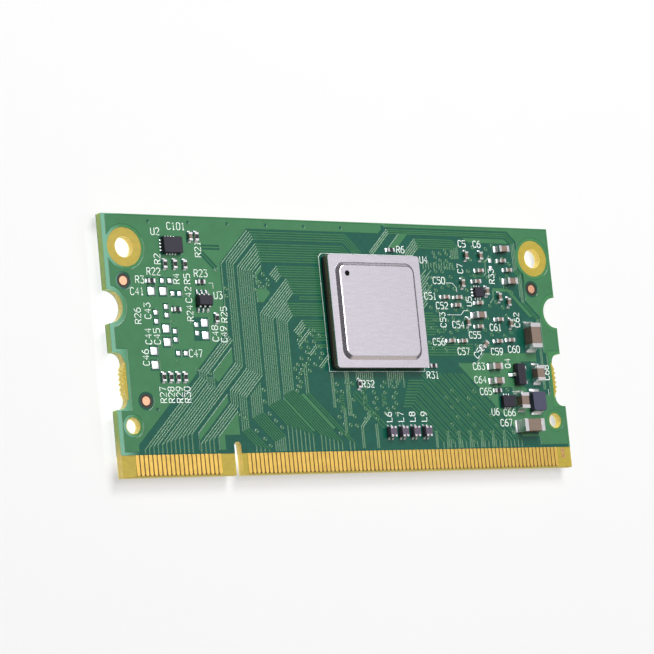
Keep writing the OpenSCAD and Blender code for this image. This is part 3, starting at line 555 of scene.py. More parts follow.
# Plated holes that are open through the copper areas of the front, and the radius of their openings
POUR_VIAS = tuple((6.45 + 5.6 * i, 30.2) for i in range(6)) + ((5.5, 7.9),)
POUR_HOLE = 0.17
# Sides of the rings round plated holes, and half the width of their flat tops
VIA_SIDES = 12
VIA_FLAT = 0.02


def front_vias():
    """Plated holes of the front: rows along the edges and fields between the tracks."""
    places = [(11.55, 12.55), (13.3, 12.1), (14.7, 12.9), (15.4, 24.5), (16.65, 21.4)]
    places += [(16.65, 22.3), (17.85, 6.7), (16.8, 7.2)]
    places += scattered((26.3, 12.4), (30.3, 17.4), 22)
    places += scattered((20.9, 22.2), (23.2, 24.4), 8)
    places += [(19.2, 5.2), (20.3, 4.2), (21, 3.4), (21.3, 7.2), (22.1, 6.4), (22.9, 5.6)]
    places += [(20.75, 8.7), (20.75, 10.1)]
    places += scattered((25.6, 9.9), (26.5, 13.6), 8)
    places += scattered((31.2, 4.6), (34.4, 11.8), 18)
    places += scattered((35, 6.4), (41, 11), 24)
    places += scattered((46.5, 15), (53.4, 24.4), 46)
    places += scattered((48.4, 25), (52, 28.2), 16)
    places += scattered((53.4, 15.4), (60.8, 28.6), 44)
    places += scattered((47.5, 3.4), (60, 11), 30)
    places += scattered((5.5, 13.4), (15, 24), 14)
    return places


def mounting_angle(inset):
    """Angle above the board's length at which a mounting hole's clear ring meets the copper edge."""
    return math.degrees(math.acos((MOUNTING_X - inset) / MOUNTING_RING))


def side_copper(mirror):
    """Copper edge along one end, from the contact edge to below the mounting hole."""
    inset = RIGHT_INSET if mirror else COPPER_INSET
    latch = math.degrees(math.acos(inset / LATCH_RING))
    points = [(inset, COPPER_LOW), (inset, RECESS_LOW), (RECESS_INSET, RECESS_LOW)]
    points += [(RECESS_INSET, RECESS_HIGH), (inset, RECESS_HIGH)]
    points += arc((0, LATCH_Y), LATCH_RING, -latch, latch)
    low = mounting_angle(inset) - 180
    points += arc((MOUNTING_X, MOUNTING_Y), MOUNTING_RING, low, RIGHT_RING_END if mirror else -low)
    return [(LENGTH - x, y) for x, y in points] if mirror else points


def corner_copper(start, angle):
    """Copper beyond the right mounting hole, from its first points to an angle on the hole's clear ring and on."""
    ring = arc((LENGTH - MOUNTING_X, MOUNTING_Y), MOUNTING_RING, angle, mounting_angle(RIGHT_INSET))
    return start + ring + [(LENGTH - RIGHT_INSET, COPPER_HIGH)]


def locating_rings():
    return [circle((x, LOCATING_Y), LOCATING_RING) for x in (LOCATING_X, LENGTH - LOCATING_X)]


def islands(node):
    """Board box, in millimetres, of each loose part of a CAD node."""
    data = frame["nodes"][node].data
    owner = {}
    group = {}
    for face in data.polygons:
        keys = [tuple(round(c / WELD) for c in data.vertices[i].co) for i in face.vertices]
        roots = {owner.get(key, key) for key in keys}
        first = roots.pop()
        merged = group.get(first, [first])
        for other in roots:
            merged = merged + group.pop(other, [other])
        merged = merged + [key for key in keys if key not in owner and key != first]
        for key in merged:
            owner[key] = first
        group[first] = merged
    boxes = []
    for keys in group.values():
        xs = [(key[0] * WELD - BOARD_LOW.x) / MM for key in keys]
        ys = [(key[1] * WELD - BOARD_LOW.y) / MM for key in keys]
        boxes.append((min(xs), min(ys), max(xs), max(ys)))
    return boxes


def inside(point, outline):
    """Whether a point lies in a closed outline."""
    x, y = point
    crossed = False
    for (x0, y0), (x1, y1) in zip(outline, outline[1:] + outline[:1]):
        if (y0 > y) != (y1 > y) and x < x0 + (y - y0) * (x1 - x0) / (y1 - y0):
            crossed = not crossed
    return crossed


def near(a, b):
    """Whether two boxes leave no room for copper between them."""
    return all(a[i] < b[i + 2] + PAD_GAP and b[i] < a[i + 2] + PAD_GAP for i in (0, 1))


def clear_boxes(nodes, fields):
    """Clear rectangles round the pads of some nodes, joined where they are near, that lie inside a field."""
    boxes = []
    for node in nodes:
        for low_x, low_y, high_x, high_y in islands(node):
            box = (low_x - PAD_CLEAR, low_y - PAD_CLEAR, high_x + PAD_CLEAR, high_y + PAD_CLEAR)
            while close := [other for other in boxes if near(box, other)]:
                boxes = [other for other in boxes if other not in close]
                box = tuple(pick(b[i] for b in close + [box]) for i, pick in enumerate((min, min, max, max)))
            boxes.append(box)
    outlines = [[(x0, y0), (x1, y0), (x1, y1), (x0, y1)] for x0, y0, x1, y1 in boxes]
    return [o for o in outlines if any(all(inside(p, field) for p in o) for field in fields)]


def front_pours():
    """Filled copper areas of the front, and the clear rings in them."""
    left = side_copper(False)
    left += [(COPPER_INSET, COPPER_HIGH), (40.75, COPPER_HIGH), (40.75, 30.2), (40.2, 29.65), (20.4, 29.65)]
    left += [(16.1, 25.35), (16.1, 17.05), (11.45, 12.4), (11.45, 12.1), (8.75, 9.4), (8.2, 9.4)]
    left += [(2.55, 3.75), (2.55, COPPER_LOW)]
    right = side_copper(True)
    right += [(62.8, 25.16), (62.8, 21.45), (64.9, 19.35), (64.9, 14.9), (65.3, 14.5), (65.3, 9.4), (61.45, 9.4)]
    right += [(61.45, 10.2), (60.95, 10.4), (60.95, 13.6), (63.6, 13.6), (63.6, 14.75), (55, 14.75), (53.7, 13.45)]
    right += [(50.9, 13.45), (50.9, 13), (54.5, 9.4), (57, 6.9), (59.9, 4), (62.8, 4), (62.8, COPPER_LOW)]
    fields = [
        left, right,
        corner_copper([(41.2, COPPER_HIGH), (41.2, 30.45), (60.85, 30.45), (62.25, 29.05)], 150),
        [(14.3, 11), (16.7, 13.4), (16.7, 15.3), (13.7, 12.3), (13.7, 11.6)],
        [(10.85, 3.0), (10.85, 5.1), (15.5, 9.75), (15.5, 8.6), (10.95, 4.05), (10.95, 3.0)],
        [(13.6, 3), (13.6, 4.55), (16.75, 7.7), (16.75, 4.75), (14.6, 4.75), (14.6, 3)],
        [(21, 22.4), (22.6, 22.4), (23.1, 21.9), (21.9, 20.7), (21, 20.7)],
        [(21.05, 22.8), (21.05, 24.3), (22.1, 25.35), (22.1, 24.7), (21.4, 24), (21.4, 22.8)],
        [(27.3, 5.05), (27.85, 5.05), (23.5, 9.4), (23.5, 8.85)],
        [(30.3, 5.25), (30.85, 5.45), (26.6, 9.7), (25.9, 9.65)],
        [(41.5, 27.9), (43.4, 29.8), (44.9, 29.8), (43, 27.9)],
        [(53.2, 29.5), (60.35, 29.5), (61, 28.85), (54.4, 28.85)],
        [(57.6, 22.6), (59.9, 22.6), (63.1, 19.4), (63.8, 19.4), (60.1, 23.1), (57.6, 23.1)],
    ]
    rings = [circle((x, y), TARGET_RING) for x, y in TARGETS]
    slots = [
        [(13.7, 27.02), (16.3, 27.02), (16.3, 27.16), (13.7, 27.16)],
        [(13.7, 27.4), (16.3, 27.4), (16.3, 27.54), (13.7, 27.54)],
        [(13.4, 26.35), (15.3, 24.45), (15.42, 24.57), (13.52, 26.47)],
        [(13.68, 26.63), (15.58, 24.73), (15.7, 24.85), (13.8, 26.75)],
    ]
    holes = [circle(place, POUR_HOLE, VIA_SIDES) for place in POUR_VIAS]
    return fields + rings + locating_rings() + slots + holes + clear_boxes(PAD_NODES, fields)


# Copper of the back, in the same millimetres, seen through the board


def back_tracks():
    """Tracks of the back: fans from the contacts to the storage and memory packages, and links between them."""
    lines = fan(short_contact(10), 7, 0.32, [(8.15, 4.3), (14.5, 10.65)])
    lines += [[(long_contact(i), TRACK_FOOT), (long_contact(i), 10.5)] for i in range(10)]
    lines += fan(long_contact(12), 10, 0.3, [(24.9, 3.2), (28.6, 6.9), (28.6, 15.3), (29.8, 16.5), (33.4, 16.5)])
    for i in range(12):
        x, end = long_contact(28 + i), 34.6 + 2 * (i // 3) + 0.4 * (i % 3)
        lines.append([(x, TRACK_FOOT), (x, 7), (end, 7 + abs(end - x)), (end, 14.2)])
    lines += fan(long_contact(46), 12, 0.3, [(46, 6.7), (44.6, 8.1), (44.6, 15.2), (43.9, 15.9), (42.6, 15.9)])
    lines += fan(long_contact(60), 8, 0.32, [(54.5, 6.6), (50.2, 10.9), (50.2, 21), (48.6, 22.6), (42.6, 22.6)])
    for y, count in ((22.4, 5), (19.7, 3), (17.8, 3)):
        lines += bundle([(24.4, y), (33.4, y)], count, 0.3)
    lines += bundle([(13.5, 22.6), (9.6, 22.6), (7.4, 20.4), (7.4, 12.2)], 4, 0.3)
    return lines


def back_vias():
    """Plated holes of the back."""
    places = [(0.85 + 5.6 * i, 30.2) for i in range(11)]
    places += scattered((27.4, 23.4), (32.4, 29.4), 14)
    places += scattered((44.6, 26.4), (60.6, 29.8), 26)
    places += scattered((53.6, 12.4), (62, 24.8), 24)
    places += scattered((6.2, 24.4), (26.4, 29.6), 24)
    places += scattered((1.8, 10), (5.6, 22), 8)
    places += scattered((59, 4.6), (65, 11), 8)
    return places


def back_pours():
    """Filled copper areas of the back, and the clear rings in them."""
    left = side_copper(False)
    left += [(COPPER_INSET, COPPER_HIGH), (32.4, COPPER_HIGH), (32.4, 23.9), (9, 23.9), (6.1, 21), (6.1, 11.6)]
    left += [(10.9, 11.6), (10.9, 7.6), (7.6, 4.3), (7.6, COPPER_LOW)]
    right = side_copper(True) + [(53, 25.4), (53, 12.3), (58.5, 6.8), (58.5, COPPER_LOW)]
    top = [(33.2, COPPER_HIGH), (33.2, 28.2), (44, 28.2), (44, 26.1), (61.4, 26.1), (61.4, COPPER_HIGH)]
    return [left, right, top, corner_copper([(61.9, COPPER_HIGH), (61.9, 29.4)], 140)] + locating_rings()


# Printed legend: strokes on a grid four wide and six high

GLYPHS = {
    "0": [[(1, 0), (3, 0), (4, 1), (4, 5), (3, 6), (1, 6), (0, 5), (0, 1), (1, 0)]],
    "1": [[(1, 5), (2, 6), (2, 0)], [(1, 0), (3, 0)]],
    "2": [[(0, 5), (1, 6), (3, 6), (4, 5), (4, 4), (0, 0), (4, 0)]],
    "3": [[(0, 6), (4, 6), (2, 3.6), (3, 3.6), (4, 2.6), (4, 1), (3, 0), (1, 0), (0, 1)]],
    "4": [[(3, 0), (3, 6), (0, 2), (4, 2)]],
    "5": [[(4, 6), (0, 6), (0, 3.5), (3, 3.5), (4, 2.5), (4, 1), (3, 0), (0, 0)]],
    "6": [[(3.5, 6), (2, 6), (0, 3.5), (0, 1), (1, 0), (3, 0), (4, 1), (4, 2.5), (3, 3.5), (0, 3.5)]],
    "7": [[(0, 6), (4, 6), (1.5, 0)]],
    "8": [[(1, 3.2), (0, 4), (0, 5), (1, 6), (3, 6), (4, 5), (4, 4), (3, 3.2), (1, 3.2), (0, 2.3), (0, 1),
           (1, 0), (3, 0), (4, 1), (4, 2.3), (3, 3.2)]],
    "9": [[(0.5, 0), (2, 0), (4, 2.5), (4, 5), (3, 6), (1, 6), (0, 5), (0, 3.5), (1, 2.5), (4, 2.5)]],
    "C": [[(4, 5), (3, 6), (1, 6), (0, 5), (0, 1), (1, 0), (3, 0), (4, 1)]],
    "L": [[(0, 6), (0, 0), (4, 0)]],
    "Q": [[(1, 0), (3, 0), (4, 1), (4, 5), (3, 6), (1, 6), (0, 5), (0, 1), (1, 0)], [(2.5, 1.5), (4, 0)]],
    "R": [[(0, 0), (0, 6), (3, 6), (4, 5), (4, 4), (3, 3), (0, 3)], [(2, 3), (4, 0)]],
    "U": [[(0, 6), (0, 1), (1, 0), (3, 0), (4, 1), (4, 6)]],
}
GRID_HEIGHT = 6
GRID_WIDTH = 4
GRID_ADVANCE = 5.6
LETTER_SQUEEZE = 0.86

# Part marks: letter, first number with that many digits, and [x, y, turn] of each
MARKS = (
    ("U", 2, ((7.3, 29, 0), (15.4, 21.5, 0), (46.9, 26.5, 0), (53.5, 21.3, 90), (55.9, 7.2, 0))),
    ("C", 101, ((10.3, 29.7, 0),)),
    ("R", 2, ((7.3, 25.7, 90), (4.6, 23.2, 0), (9.7, 23.4, 90), (11.2, 23.4, 90), (43.4, 27.7, 0))),
    ("R", 21, (
        (13.1, 27, 90), (6.6, 24.2, 0), (13.2, 24.1, 0), (11.2, 19.3, 90), (16, 19.2, 90), (3.9, 18.9, 90),
        (6.45, 9.6, 90), (7.58, 9.6, 90), (8.7, 9.6, 90), (9.82, 9.6, 90), (46.5, 11.9, 0), (36.3, 10.8, 0),
        (57.6, 24.6, 90),
    )),
    ("C", 5, ((53.3, 28.7, 0), (55.7, 28.7, 0), (52.6, 25.5, 90))),
    ("C", 41, (
        (4.1, 21.8, 0), (11.2, 21.5, 90), (5.3, 19.5, 90), (5.1, 16.5, 90), (6.3, 16.5, 90), (4.5, 14, 90),
        (11.5, 14.5, 0), (14.5, 16.9, 90), (15.7, 16.8, 90), (49, 23.9, 0), (47.4, 21.9, 0), (49.1, 20.7, 0),
        (49, 18.9, 90), (51.4, 18.3, 0), (53.9, 17, 0), (48, 16.1, 0), (51.8, 14.9, 0), (54.3, 14.9, 45),
        (57.2, 14.9, 0), (60, 15.2, 0), (57.4, 18, 0), (61, 19, 90), (54, 13, 0), (54, 11.3, 0),
        (54.7, 9.8, 0), (58.2, 7.1, 0), (57.5, 5.8, 0), (65, 12.2, 90),
    )),
    ("L", 6, ((39, 6.7, 90), (40.8, 6.7, 90), (42.6, 6.7, 90), (44.4, 6.7, 90))),
    ("Q", 4, ((58.7, 13.4, 90),)),
)
OUTLINES = (
    [(31.1, 26.95), (30.67, 26.5), (30.67, 12.35), (45.3, 12.35), (45.3, 26.95), (31.1, 26.95)],
    [(14.2, 22.95), (14.8, 22.95), (14.8, 22.3)],
    [(50.1, 23.6), (51.1, 23.6), (51.7, 23), (51.7, 22.5)],
    [(49.8, 19.55), (52, 19.55), (52.5, 20.1), (53.2, 20.1)],
    [(59, 9.75), (59.4, 9.75), (59.4, 9.4)],
    [(64.9, 10), (65, 10), (65, 9.3)],
)
BACK_MARKS = (
    ("U", 7, ((13.9, 24.1, 0), (31.6, 25.2, 0))),
    ("C", 71, tuple((10.1, 12.5 + 2 * i, 0) for i in range(5))),
    ("C", 76, tuple((28.2, 12.5 + 2 * i, 0) for i in range(5))),
    ("C", 81, tuple((34 + 2 * i, 10.6, 90) for i in range(5))),
    ("C", 86, tuple((34 + 2 * i, 28.6, 90) for i in range(5))),
)
BACK_OUTLINES = (
    [(13, 22.6), (13, 9.75), (25, 9.75), (25, 23.25), (13.65, 23.25), (13, 22.6)],
    [(32.75, 24.95), (32.75, 13.6), (43.25, 13.6), (43.25, 25.6), (33.4, 25.6), (32.75, 24.95)],
)


def written(text, place, height):
    """Strokes of a text whose middle is at a place, turned by its angle."""
    x, y, turn = place
    unit = height / GRID_HEIGHT
    start = -(GRID_ADVANCE * (len(text) - 1) + GRID_WIDTH) / 2
    cos, sin = math.cos(math.radians(turn)), math.sin(math.radians(turn))
    strokes = []
    for i, letter in enumerate(text):
        for stroke in GLYPHS[letter]:
            local = [
                ((start + GRID_ADVANCE * i + u) * unit * LETTER_SQUEEZE, (v - GRID_HEIGHT / 2) * unit)
                for u, v in stroke
            ]
            strokes.append([(x + cos * u - sin * v, y + sin * u + cos * v) for u, v in local])
    return strokes


def legend(marks):
    """Printed strokes of some part marks."""
    strokes = []
    for letter, first, places in marks:
        for number, place in enumerate(places, first):
            strokes += written(f"{letter}{number}", place, sizes().letter_height / MM)
    return strokes


def back_legend():
    """Printed strokes of the back, which read the right way from behind."""
    marks = [
        (letter, first, [(LENGTH - x, y, turn) for x, y, turn in places]) for letter, first, places in BACK_MARKS
    ]
    return [[(LENGTH - x, y) for x, y in stroke] for stroke in legend(marks)]


# Materials


def add_node(material, kind, inputs=None, **settings):
    """Adds a node with its settings. An input takes a value or another node's output."""
    node = material.node_tree.nodes.new(kind)
    for name, value in settings.items():
        setattr(node, name, value)
    for name, value in (inputs or {}).items():
        if isinstance(value, bpy.types.NodeSocket):
            material.node_tree.links.new(value, node.inputs[name])
        else:
            node.inputs[name].default_value = value
    return node


def per_metre(millimetres):
    """Texture scale that gives a pattern of that real size on Object coordinates."""
    return 1 / (millimetres * MM)


def shaded(value, factor):
    """A colour made darker or lighter."""
    return [min(1, c * factor) for c in value[:3]] + [1]


# Noise values of the darkest and lightest tone, and share by which the roughness varies
NOISE_DARK, NOISE_LIGHT = 0.3, 0.7
GLOSS_SPREAD = 0.15
NOISE_DETAIL = 3


def surface(name, base, roughness, grain, contrast, bump=0.0, streak=(1, 1, 1), **constants):
    """A material whose colour, gloss and height follow a noise with a real grain size in millimetres.
    Contrast is the share by which the colour varies, and bump the height of the grain in millimetres.
    Grains that are really finer than 0.1 mm are drawn coarser, so that they show from the camera."""
    material = bpy.data.materials.new(name)
    material.use_nodes = True
    shader = material.node_tree.nodes["Principled BSDF"]
    for socket, value in constants.items():
        shader.inputs[socket.replace("_", " ")].default_value = value
    link = material.node_tree.links.new
    place = add_node(material, "ShaderNodeTexCoord").outputs["Object"]
    place = add_node(material, "ShaderNodeMapping", {"Vector": place, "Scale": streak}).outputs["Vector"]
    noise = add_node(
        material, "ShaderNodeTexNoise", {"Vector": place, "Scale": per_metre(grain), "Detail": NOISE_DETAIL}
    ).outputs["Fac"]
    tones = add_node(material, "ShaderNodeValToRGB", {"Fac": noise})
    tones.color_ramp.elements[0].position = NOISE_DARK
    tones.color_ramp.elements[0].color = shaded(base, 1 - contrast)
    tones.color_ramp.elements[1].position = NOISE_LIGHT
    tones.color_ramp.elements[1].color = shaded(base, 1 + contrast)
    link(tones.outputs["Color"], shader.inputs["Base Color"])
    gloss = add_node(
        material, "ShaderNodeMapRange",
        {"Value": noise, "To Min": roughness * (1 - GLOSS_SPREAD), "To Max": roughness * (1 + GLOSS_SPREAD)},
    )
    link(gloss.outputs["Result"], shader.inputs["Roughness"])
    if bump:
        height = add_node(material, "ShaderNodeBump", {"Height": noise, "Distance": bump * MM, "Strength": 1.0})
        link(height.outputs["Normal"], shader.inputs["Normal"])
    return material


def blend(material, share, other):
    """Blends the base colour of a material towards another colour by a share, both values or outputs."""
    base = material.node_tree.nodes["Principled BSDF"].inputs["Base Color"]
    mixed = add_node(
        material, "ShaderNodeMixRGB", {"Fac": share, "Color1": base.links[0].from_socket, "Color2": other}
    )
    material.node_tree.links.new(mixed.outputs["Color"], base)


# Reach of the painted glow at the left end, which stands for light from the left cut edge, in millimetres
MARGIN_FADE = (0.5, 2.6)
# Clear strip along the other edges where a glow is painted for light coming through, and how far that painted glow
# fades, in millimetres
LIT_EDGE = 0.2
LIT_FADE = 0.15
# Share of the usual reflection that the thin lacquer gives
MASK_GLEAM = 0.35
# Upright part of the normal of a slope, share of the painted shade there, and the tone of that painted shade against
# the mask on laminate
SLOPING = 0.95
SLOPE_SHADE = 0.4
PAINTED_SLOPE_TONE = 0.5


def mask_on_laminate():
    """Epoxy solder mask on bare laminate: deep glossy green with the glass weave just showing, with a painted glow
    round the holes and along the edges, and painted pale at the left end for light from the cut walls coming through."""
    material = surface(
        "solder_mask_on_laminate", colours().mask_bare, 0.2, 0.6, 0.1, 0.0004, Specular_IOR_Level=MASK_GLEAM
    )
    place = add_node(material, "ShaderNodeTexCoord").outputs["Object"]
    across = add_node(material, "ShaderNodeSeparateXYZ", {"Vector": place}).outputs
    outward = add_node(material, "ShaderNodeMath", {0: across["X"]}, operation="ABSOLUTE").outputs["Value"]
    flat = add_node(material, "ShaderNodeCombineXYZ", {"X": outward, "Y": across["Y"]}).outputs["Vector"]
    # Painted glow round the holes and along the edges
    lit_places = []
    for x, y, ring in (
        (MOUNTING_X, MOUNTING_Y, MOUNTING_RING), (0, LATCH_Y, LATCH_RING), (LOCATING_X, LOCATING_Y, LOCATING_RING)
    ):
        middle = (BOARD_HIGH.x - x * MM, BOARD_LOW.y + y * MM, 0)
        away = add_node(material, "ShaderNodeVectorMath", {0: flat, 1: middle}, operation="DISTANCE").outputs["Value"]
        lit_places.append(add_node(material, "ShaderNodeMapRange", {
            "Value": away, "From Min": ring * MM, "From Max": (ring + LIT_FADE) * MM, "To Min": 1.0, "To Max": 0.0,
        }))
    for along, edge in ((outward, BOARD_HIGH.x), (across["Y"], BOARD_HIGH.y)):
        lit_places.append(add_node(material, "ShaderNodeMapRange", {
            "Value": along, "From Min": edge - (LIT_EDGE + LIT_FADE) * MM, "From Max": edge - LIT_EDGE * MM,
        }))
    middle, half = (RECESS_LOW + RECESS_HIGH) / 2, (RECESS_HIGH - RECESS_LOW) / 2
    beside = add_node(
        material, "ShaderNodeMath", {0: across["Y"], 1: BOARD_LOW.y + middle * MM, 2: half * MM}, operation="COMPARE"
    ).outputs["Value"]
    lit_places.append(add_node(material, "ShaderNodeMapRange", {
        "Value": outward, "From Min": BOARD_HIGH.x - (RECESS_INSET + LIT_FADE) * MM,
        "From Max": BOARD_HIGH.x - RECESS_INSET * MM, "To Max": beside,
    }))
    lit = 0.0
    for place in lit_places:
        sockets = {0: place.outputs["Result"], 1: lit}
        lit = add_node(material, "ShaderNodeMath", sockets, operation="MAXIMUM").outputs["Value"]
    blend(material, lit, colours().mask_lit[:])
    # Painted glow at the left end, fading inwards
    share = add_node(material, "ShaderNodeMapRange", {
        "Value": across["X"], "From Min": BOARD_LOW.x + MARGIN_FADE[0] * MM,
        "From Max": BOARD_LOW.x + MARGIN_FADE[1] * MM, "To Min": 1.0, "To Max": 0.0,
    }).outputs["Result"]
    blend(material, share, colours().mask_margin[:])
    return material


def mask_on_copper():
    """Epoxy solder mask on copper: lighter and warmer, because the metal below sends light back, and darker on the
    slopes, partly where the mask runs thin past the metal and partly as painted shade between the tracks."""
    material = surface(
        "solder_mask_on_copper", colours().mask_copper, 0.2, 1.5, 0.06, 0.0004, Specular_IOR_Level=MASK_GLEAM
    )
    normal = add_node(material, "ShaderNodeTexCoord").outputs["Normal"]
    up = add_node(material, "ShaderNodeSeparateXYZ", {"Vector": normal}).outputs["Z"]
    level = add_node(material, "ShaderNodeMath", {0: up}, operation="ABSOLUTE").outputs["Value"]
    # Painted shade on the slopes of the tracks, areas and rings
    painted_slope_shade = add_node(material, "ShaderNodeMapRange", {
        "Value": level, "From Min": SLOPING, "From Max": 1.0, "To Min": SLOPE_SHADE, "To Max": 0.0,
    }).outputs["Result"]
    blend(material, painted_slope_shade, shaded(colours().mask_bare, PAINTED_SLOPE_TONE))
    return material


# How far light spreads inside the laminate, and the distance from the ends where the painted glow on its walls turns
# green, in millimetres
LAMINATE_DEPTH = 0.8
GREEN_WALLS = (1.05, 0.95)


def glass_laminate():
    """Bare glass fibre epoxy: translucent yellow with a faint weave. Its cut walls get a painted glow, pale for light
    shining through the laminate and green at the outer edges for light through the two mask skins."""
    material = surface(
        "glass_fibre_laminate", colours().laminate, 0.45, 0.5, 0.07, 0.001, streak=(0.7, 1, 2),
        Subsurface_Weight=0.7, Subsurface_Scale=LAMINATE_DEPTH * MM, Subsurface_Radius=(1, 0.9, 0.35),
    )
    coordinates = add_node(material, "ShaderNodeTexCoord").outputs
    up = add_node(material, "ShaderNodeSeparateXYZ", {"Vector": coordinates["Normal"]}).outputs["Z"]
    across = add_node(material, "ShaderNodeSeparateXYZ", {"Vector": coordinates["Object"]}).outputs
    outward = add_node(material, "ShaderNodeMath", {0: across["X"]}, operation="ABSOLUTE").outputs["Value"]
    steep = add_node(material, "ShaderNodeMath", {0: up}, operation="ABSOLUTE").outputs["Value"]
    steep = add_node(material, "ShaderNodeMapRange", {"Value": steep, "To Min": 1.0, "To Max": 0.0}).outputs["Result"]
    covered = add_node(material, "ShaderNodeMapRange", {
        "Value": across["Y"], "From Min": BOARD_LOW.y + CONTACT_TOP * MM,
        "From Max": BOARD_LOW.y + 2 * CONTACT_TOP * MM,
    }).outputs["Result"]
    outer = add_node(material, "ShaderNodeMapRange", {
        "Value": outward, "From Min": BOARD_HIGH.x - GREEN_WALLS[0] * MM,
        "From Max": BOARD_HIGH.x - GREEN_WALLS[1] * MM,
    }).outputs["Result"]
    green = add_node(material, "ShaderNodeMath", {0: outer, 1: covered}, operation="MULTIPLY").outputs["Value"]
    # Painted glow on the steep walls: pale, and green at the outer edges
    walls = add_node(
        material, "ShaderNodeMixRGB",
        {"Fac": green, "Color1": colours().laminate_wall[:], "Color2": colours().laminate_edge[:]},
    ).outputs["Color"]
    blend(material, steep, walls)
    return material


class MODULE_OT_finish_board(bpy.types.Operator):
    """Gives the laminate and its mask skins their materials"""

    bl_idname = "module.finish_board"
    bl_label = "Finish the bare board"

    def execute(self, context):
        dress(glass_laminate(), "circuit_board")
        mask = mask_on_laminate()
        dress(mask, "front_solder_mask", "back_solder_mask")
        holes = [(x, LOCATING_Y) for x in (LOCATING_X, LENGTH - LOCATING_X)]
        lips = [circle(hole, radius) for hole in holes for radius in (LIP_OUTER, LIP_INNER)]
        thick = FRONT_Z - BOARD_HIGH.z / MM
        settle(to_frame(sheet("mask_lips", lips, LIP_SLOPE, thick, BOARD_HIGH.z / MM)), mask)
        return {"FINISHED"}


def ridge(half, slope, height):
    """Section of a flat-topped ridge with sloping sides."""
    return [(-half - slope, 0), (half + slope, 0), (half, height), (-half, height)]


def copper_face(face, areas, lines, vias, z):
    """Copper areas, tracks and via rings of one face, on a plane z."""
    slope, height = sizes().track_slope / MM, sizes().track_height / MM
    tracks = ridge(sizes().track_width / MM / 2, slope, height)
    holes = ridge(VIA_FLAT, sizes().via_slope / MM, sizes().via_height / MM)
    rings = [circle(place, sizes().via_radius / MM, VIA_SIDES) for place in vias]
    return [
        sheet(face + "_copper_areas", areas, slope, height - HAIR * HAIR_LEVELS, z),
        sweep(face + "_tracks", lines, [], tracks, z),
        sweep(face + "_vias", [], rings, holes, z),
    ]


class MODULE_OT_lay_copper(bpy.types.Operator):
    """Lays the filled copper areas, the tracks and the plated holes of both faces under their mask"""

    bl_idname = "module.lay_copper"
    bl_label = "Lay the copper"

    def execute(self, context):
        cover = mask_on_copper()
        for piece in copper_face("front", front_pours(), front_tracks(), front_vias(), FRONT_Z):
            settle(to_frame(piece), cover)
        for piece in copper_face("back", back_pours(), back_tracks(), back_vias(), 0):
            settle(to_frame(to_back(piece)), cover)
        return {"FINISHED"}


# Flat top and slope of a letter's stroke and of an outline, as shares of half the ink width
LETTER_SHARES = (0.7, 0.3)
OUTLINE_SHARES = (0.4, 0.2)


class MODULE_OT_print_legend(bpy.types.Operator):
    """Prints the part marks and outlines of both faces"""

    bl_idname = "module.print_legend"
    bl_label = "Print the legend"

    def execute(self, context):
        # Epoxy ink: matt white and a little uneven, so that the marks look printed
        ink = surface("legend_ink", colours().ink, 0.5, 0.12, 0.06, 0.002)
        half, height = sizes().ink_width / MM / 2, sizes().ink_height / MM
        letter, thin = [
            ridge(half * flat, half * slope, height) for flat, slope in (LETTER_SHARES, OUTLINE_SHARES)
        ]
        settle(to_frame(sweep("front_legend", legend(MARKS), [], letter, FRONT_Z)), ink)
        settle(to_frame(sweep("front_outlines", OUTLINES, [], thin, FRONT_Z)), ink)
        settle(to_frame(to_back(sweep("back_legend", back_legend(), [], letter, 0))), ink)
        settle(to_frame(to_back(sweep("back_outlines", BACK_OUTLINES, [], thin, 0))), ink)
        return {"FINISHED"}


def contact_rows():
    """Outline of each row of front contacts."""
    rows = []
    for node in ("front_contacts_short", "front_contacts_long"):
        low, high = [(corner - BOARD_LOW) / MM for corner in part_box(node)]
        rows.append([(low.x, low.y), (high.x, low.y), (high.x, high.y), (low.x, high.y)])
    return rows


class MODULE_OT_plate_contacts(bpy.types.Operator):
    """Rounds the edge contacts and gilds them, and finishes the bare copper targets"""

    bl_idname = "module.plate_contacts"
    bl_label = "Plate the contacts"

    def execute(self, context):
        # Hard gold over nickel: satin, a little darker where the socket has wiped it
        gold = surface("hard_gold", colours().gold, 0.3, 0.8, 0.08, 0.0005, Metallic=1.0)
        for node in ("front_contacts_short", "front_contacts_long", "back_contacts_short", "back_contacts_long"):
            soften(node, sizes().contact_edge, gold)
        # Bare copper under a clear coat: pink and satin, with soft spots
        copper = surface("bare_copper", colours().copper, 0.35, 0.4, 0.08, 0.0005, Metallic=1.0)
        dress(copper, "fiducial_targets")
        loops = [circle(place, TEST_RING, TEST_SIDES) for place in TEST_RINGS]
        loops = sweep("test_rings", [], loops, ridge(*TEST_RIDGE), BOARD_HIGH.z / MM)
        settle(to_frame(loops), copper)
        # Painted shade: a dark brown film on the laminate in the narrow gaps, for the shade of the gold on both sides
        gap = surface("laminate_between_contacts", colours().laminate_gap, 0.5, 0.3, 0.15)
        strips = sheet("contact_gaps", contact_rows(), FILM_SLOPE, FILM, BOARD_HIGH.z / MM)
        settle(to_frame(strips), gap)
        # Clear ring round each target: the laminate looks nearly black beside the bright copper
        clear = surface("laminate_round_targets", colours().target_ring, 0.5, 0.3, 0.15)
        rings = [circle(place, radius) for place in TARGETS for radius in (TARGET_CLEAR, TARGET_DISC)]
        settle(to_frame(sheet("target_rings", rings, FILM_SLOPE, FILM, BOARD_HIGH.z / MM)), clear)
        return {"FINISHED"}


# Corner dot of the cover: distance from the flange's edges, radius, depth, sides and sharp angle in degrees
DOT_INSET = 2.42
DOT_RADIUS = 0.34
DOT_DEPTH = 0.055
DOT_SIDES = 32
DOT_SHARP = 40
# Rim of the dot that stays level, and how far its middle sinks
DOT_RIM = DOT_RADIUS / 4
DOT_SINK = DOT_DEPTH / 3
